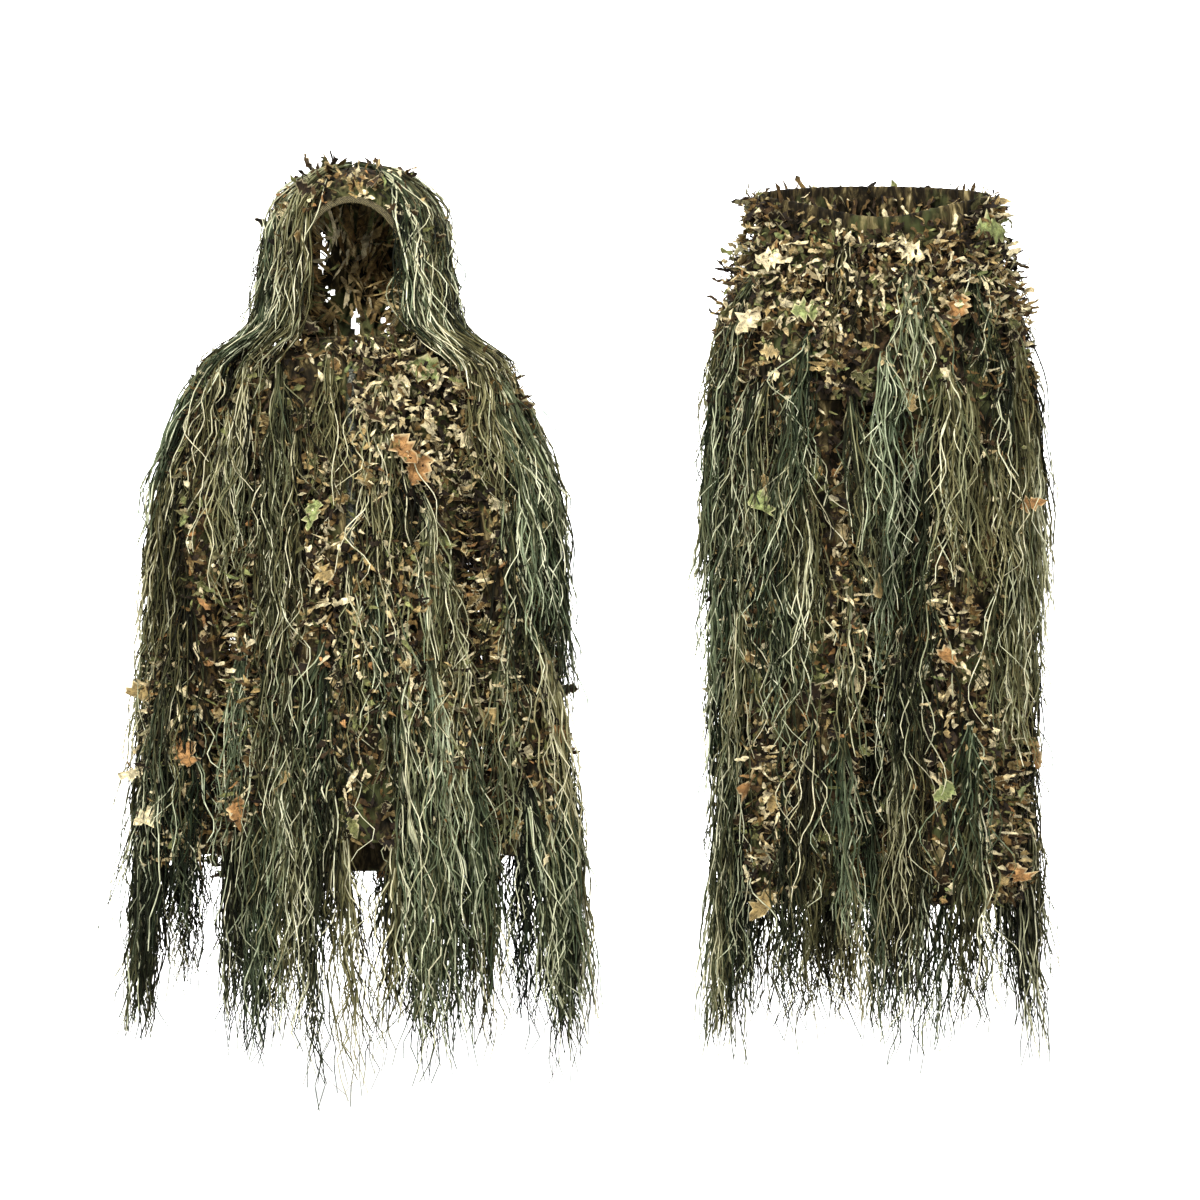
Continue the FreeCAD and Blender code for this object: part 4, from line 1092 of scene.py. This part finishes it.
class GHILLIE_OT_yarn(bpy.types.Operator):
    """Every tuft of loose yarn, in staggered rows that hang over each other."""
    bl_idname = "ghillie.yarn"
    bl_label = "Yarn tufts"

    def execute(self, context):
        per_tuft, spread = settings().yarn.per_tuft, settings().yarn.spread
        body_rows = [(-0.030, 0.24), (-0.13, 0.26), (-0.22, 0.28), (-0.33, 0.29), (-0.44, 0.30), (-0.55, 0.32),
                     (-0.64, 0.40), (-0.71, 0.35)]
        arm_rows = [(-0.040, 0.24), (-0.12, 0.27), (-0.23, 0.28), (-0.34, 0.30), (-0.45, 0.31), (-0.56, 0.33),
                    (-0.65, 0.38), (-0.725, 0.33)]
        leg_rows = [(-0.12, 0.28), (-0.22, 0.29), (-0.33, 0.30), (-0.44, 0.31), (-0.55, 0.32), (-0.66, 0.34),
                    (-0.76, 0.29)]
        hip_rows = [(0.125, 0.22), (0.05, 0.25), (-0.02, 0.27), (-0.08, 0.28)]
        crown_rows = [(0.254, 0.32), (0.232, 0.29), (0.180, 0.25), (0.110, 0.19)]
        for side, name in SIDES:
            arm = shifted(ARM, 0, side)
            leg = shifted(SHANK, TROUSERS_X, side)
            # each yarn's node, body, surface, rows, first and last angle on the left, columns, and own sizes
            plan = [
                ("front_yarn_", "jacket", BODY, body_rows, 3, 66, 4, {}),
                ("back_yarn_", "jacket", BODY, body_rows, 116, 179, 4, {"per_tuft": per_tuft - 14}),
                ("sleeve_yarn_", "sleeve_" + name, arm, arm_rows, -12, 192, 5, {"flare": 0.150}),
                ("hood_yarn_", "hood", DRAPE, crown_rows, 38, 178, 7,
                 {"flare": 0.06, "spread": 0.028, "stray": 0.30}),
                ("hip_yarn_", "trousers", SEAT, hip_rows, 1, 179, 7, {"flare": 0.150}),
                ("leg_yarn_", "trousers", leg, leg_rows, -66, 246, 8, {"flare": 0.145}),
            ]
            for k, (stem, body, table, rows, low, high, columns, own) in enumerate(plan):
                seed = 100 + 10 * k + side
                angle, z, length = rooted(rows, *sorted((side * low, side * high)), columns, seed)
                if body == "hood":
                    length = length * (1 - 0.35 * (np.cos(angle) < -0.35))
                angle, z, length = leave_bare(table, angle, z, length, bare_places(stem + name), seed)
                options = {"per_tuft": per_tuft, "spread": spread, **own}
                piece = tufts("strands_" + stem + name, table, angle, z, length, seed, **options)
                finish_piece(piece, body, "yarn", [stem + name])
        return {"FINISHED"}


def bare_places(name):
    """The streaks that a yarn node's tufts leave bare: those of the cloth it is sewn on."""
    stem, side = name.split("_yarn_")
    return STREAKS.get("seat_front" if stem == "hip" else stem + "_" + side, ())


class GHILLIE_OT_trim(bpy.types.Operator):
    """Bindings, hanger loop, elastics, waist casing and crotch gusset."""
    bl_idname = "ghillie.trim"
    bl_label = "Trim"

    def execute(self, context):
        up = np.array([0.0, 0.0, 1.0])
        start = math.asin((HOOD_FOOT_Z + 0.005 - FACE_Z) / FACE_HALF_HEIGHT)
        sweep = np.linspace(start, np.pi - start, 120)
        middle = BINDING / 2
        x = (FACE_HALF_WIDTH + middle) * np.cos(sweep)
        z = FACE_Z + (FACE_HALF_HEIGHT + middle) * np.sin(sweep)
        path = spot(HOOD, angle_of(HOOD, x, z), z, -0.001)
        across = np.stack([np.cos(sweep), 0 * sweep, np.sin(sweep)], -1)
        piece = swept("face_binding", path, across, *FACE_TAPE, **FACE_GATHERS)
        finish_piece(piece, "hood", "binding", ["hood_face_binding"])

        low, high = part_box("neck_binding")
        gap = math.asin(ZIP_HALF_GAP / high.x)
        turn = np.linspace(gap, 2 * np.pi - gap, 120)
        path = np.stack([(high.x - 0.0015) * np.sin(turn), -(high.y - 0.0015) * np.cos(turn),
                         np.full(120, (low.z + high.z) / 2)], -1)
        piece = swept("neck_tape", path, up, (high.z - low.z) / 2, NECK_HALF_THICK)
        finish_piece(piece, "jacket", "binding", ["neck_binding"])

        low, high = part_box("hanger_loop")
        share = np.linspace(-1, 1, 30)
        path = np.stack([share * (high.x - 0.001), low.y + 0.001 + (high.y - low.y - 0.001) * share ** 2,
                         np.full(30, (low.z + high.z) / 2)], -1)
        piece = swept("loop_tape", path, up, *LOOP_TAPE)
        finish_piece(piece, "jacket", "binding", ["hanger_loop"])

        for side, name in SIDES:
            for node, body, table in (("cuff_elastic_", "sleeve_" + name, shifted(ARM, 0, side)),
                                      ("ankle_elastic_", "trousers", shifted(SHANK, TROUSERS_X, side))):
                low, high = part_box(node + name)
                path = hoop(table, (low.z + high.z) / 2, ELASTIC_INSET)
                piece = swept("band_" + node + name, path, up, (high.z - low.z) / 2, ELASTIC_HALF_THICK,
                              **ELASTIC_GATHERS)
                finish_piece(piece, body, "elastic", [node + name])
            low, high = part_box("zip_tape_" + name)
            share = np.linspace(0, 1, 60)[:, None]
            # the tape runs down the front's straight lean, so its foot is at its box's low y
            foot_y, top_y = low.y + TAPE_HALF, high.y - TAPE_HALF
            path = np.concatenate([np.full((60, 1), (low.x + high.x) / 2), top_y + (foot_y - top_y) * share,
                                   high.z + (low.z - high.z) * share], 1)
            piece = swept("ribbon_zip_" + name, path, [1.0, 0, 0], (high.x - low.x) / 2, ZIP_HALF_THICK)
            finish_piece(piece, "jacket", "zip_tape", ["zip_tape_" + name])

        steps = 720
        turn = np.linspace(0, 2 * np.pi, steps, endpoint=False)
        flat = np.stack([CASING_HALF_WIDTH * np.sin(turn), -CASING_HALF_DEPTH * np.cos(turn),
                         np.full(steps, BAND_HEIGHT / 2)], -1)
        c, s = math.cos(WAIST_TILT), math.sin(WAIST_TILT)
        tilt = np.array([[1, 0, 0], [0, c, -s], [0, s, c]])
        path = flat @ tilt.T + [TROUSERS_X, 0, WAIST_Z]
        path[:, 2] -= waist_dip(np.cos(turn))
        for label, node, half, thick, ripple, look, slot in (
                ("waist_casing", "waistband_casing", BAND_HEIGHT / 2, 0.0030, 0.0026, "cloth", "leaf_cloth"),
                ("waist_band", "waist_elastic", 0.016, 0.0010, 0.0012, "elastic", "elastic")):
            piece = swept(label, path, tilt @ up, half, thick, True, ripple, WAIST_GATHERS)
            finish_piece(piece, "trousers", look, [node])

        low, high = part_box("crotch_gusset")
        u, v = np.meshgrid(np.linspace(-1, 1, 17), np.linspace(-1, 1, 33))
        x = TROUSERS_X + u * (1 - np.abs(v)) * (high.x - low.x) / 2
        z = low.z + 0.002 + 0.001 * np.cos(3 * u) * np.cos(4 * v)
        grid = np.stack([x, v * (high.y - low.y) / 2, z], -1)
        piece = new_mesh("gusset_knit", grid, [grid_faces(1, 33, 17)])
        finish_piece(piece, "trousers", "mesh", ["crotch_gusset"], thickness=CLOTH_WALL)
        keep_sheet("gusset", piece, (float(high.x - low.x), float(high.y - low.y),
                                     float((high.x - low.x) * (high.y - low.y) / 2)))
        return {"FINISHED"}


class GHILLIE_OT_zip_finish(bpy.types.Operator):
    """Finishes of the zip's hard parts."""
    bl_idname = "ghillie.zip_finish"
    bl_label = "Zip finish"

    def execute(self, context):
        looks = {"zip_teeth_right": "acetal", "zip_teeth_left": "acetal", "zip_top_stops": "acetal",
                 "zip_end_box": "acetal", "zip_end_pin": "acetal", "zip_slider": "zinc", "zip_pull": "zinc"}
        for node, look in looks.items():
            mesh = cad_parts[node].data
            mesh.materials.clear()
            mesh.materials.append(finish(look))
        return {"FINISHED"}


class GHILLIE_OT_declare_sheets(bpy.types.Operator):
    """Prints every panel of cloth at its flat size and area; the names of the flakes and yarn sewn on it are
    gathered but not used.
    """
    bl_idname = "ghillie.declare_sheets"
    bl_label = "Declare sheets"

    def execute(self, context):
        sewn = {f"{stem}_{side}": [f"strands_{stem}_yarn_{side}"]
                for stem in ("front", "sleeve", "hood", "leg") for _, side in SIDES}
        sewn["back"] = ["strands_back_yarn_right", "strands_back_yarn_left"]
        sewn["seat_front"], sewn["seat_back"] = ["strands_hip_yarn_right"], ["strands_hip_yarn_left"]
        for name, (piece, width, length, area, held) in SHEETS.items():
            cut_on_it = [stem + name for stem in ("slivers_", "leaves_", "lining_")]
            cut_on_it += ["slivers_waist_rim", "lining_waist_rim"] if name == "seat_back" else []
            cut_on_it += ["slivers_crown"] if name == "hood_centre" else []
            print(f"sheet {name}: {width:.3f} x {length:.3f} m, {area:.4f} m2")
        return {"FINISHED"}


class GHILLIE_OT_stage(bpy.types.Operator):
    """A pale paper bowl under and all round the garments, soft lights and the camera."""
    bl_idname = "ghillie.stage"
    bl_label = "Stage"

    def execute(self, context):
        own = settings().stage
        floor_z = CAD_BOX[0].z - own.floor_drop
        bow = np.linspace(0, np.pi / 2, 13)
        reach = np.concatenate([[SWEEP_REACH / 8, SWEEP_REACH / 2],
                                SWEEP_REACH - SWEEP_BEND * (1 - np.sin(bow)), [SWEEP_REACH]])[:, None]
        rise = np.concatenate([[0, 0], SWEEP_BEND * (1 - np.cos(bow)), [SWEEP_HEIGHT]])[:, None]
        turn = np.linspace(0, 2 * np.pi, SWEEP_SIDES, endpoint=False)[None]
        grid = np.stack([CAMERA_FOCUS[0] + reach * np.sin(turn), reach * np.cos(turn),
                         rise + floor_z + 0 * turn], -1)
        middle = np.arange(SWEEP_SIDES)[None, ::-1]
        paper = new_mesh("paper_sweep", grid, [grid_faces(1, len(reach), SWEEP_SIDES, wrap=True), middle])
        paper.data.materials.append(finish("paper"))

        world = bpy.data.worlds.new("studio")
        bpy.context.scene.world = world
        world.use_nodes = True
        background = world.node_tree.nodes["Background"]
        background.inputs["Color"].default_value = (1, 1, 1, 1)
        background.inputs["Strength"].default_value = WORLD_LIGHT
        for name, place, size, power, aimed_at in LAMPS:
            lamp = bpy.data.lights.new(name, "AREA")
            lamp.energy = power
            lamp.size = size
            made = bpy.data.objects.new(name, lamp)
            bpy.context.scene.collection.objects.link(made)
            made.location = place
            made.rotation_euler = turned_towards(np.array(aimed_at) - np.array(place))
            made.visible_camera = False
        camera = bpy.data.cameras.new("camera")
        camera.lens = own.lens
        camera.sensor_width = SENSOR_WIDTH
        made = bpy.data.objects.new("camera", camera)
        bpy.context.scene.collection.objects.link(made)
        distance = FRAMED_WIDTH * own.lens / camera.sensor_width
        made.location = (CAMERA_FOCUS[0], FRAMED_Y - distance, CAMERA_FOCUS[2])
        made.rotation_euler = (math.pi / 2, 0, 0)
        bpy.context.scene.camera = made
        bpy.context.scene.view_settings.view_transform = "Standard"
        return {"FINISHED"}


def turned_towards(aim):
    """Euler turn that points a lamp's -Z along a direction."""
    x, y, z = aim / np.linalg.norm(aim)
    return (math.acos(-z), 0.0, math.atan2(y, x) - math.pi / 2)


class GHILLIE_PT_sidebar(bpy.types.Panel):
    """Lists the suit's sizes and its operators."""
    bl_idname = "GHILLIE_PT_sidebar"
    bl_label = "Ghillie suit"
    bl_space_type = "VIEW_3D"
    bl_region_type = "UI"
    bl_category = "Ghillie"

    def draw(self, context):
        own = context.scene.ghillie
        for group in (own.cloth, own.flakes, own.yarn, own.stage):
            for key in group.__annotations__:
                self.layout.prop(group, key)
        for operator in OPERATORS:
            self.layout.operator(operator.bl_idname)


SETTINGS = (ClothSettings, FlakeSettings, YarnSettings, StageSettings, GhillieSettings)
OPERATORS = (GHILLIE_OT_jacket_cloth, GHILLIE_OT_sleeve_cloth, GHILLIE_OT_hood_cloth, GHILLIE_OT_trouser_cloth,
             GHILLIE_OT_flakes, GHILLIE_OT_yarn, GHILLIE_OT_trim, GHILLIE_OT_zip_finish,
             GHILLIE_OT_declare_sheets, GHILLIE_OT_stage)


def register():
    """Registers the suit's settings, operators and panel."""
    for made in (*SETTINGS, *OPERATORS, GHILLIE_PT_sidebar):
        bpy.utils.register_class(made)
    bpy.types.Scene.ghillie = PointerProperty(type=GhillieSettings)


def unregister():
    """Takes them away again."""
    del bpy.types.Scene.ghillie
    for made in reversed((*SETTINGS, *OPERATORS, GHILLIE_PT_sidebar)):
        bpy.utils.unregister_class(made)


def main():
    """Builds every group of pieces."""
    register()
    for operator in OPERATORS:
        group, name = operator.bl_idname.split(".")
        getattr(getattr(bpy.ops, group), name)()


if __name__ == "__main__":
    main()
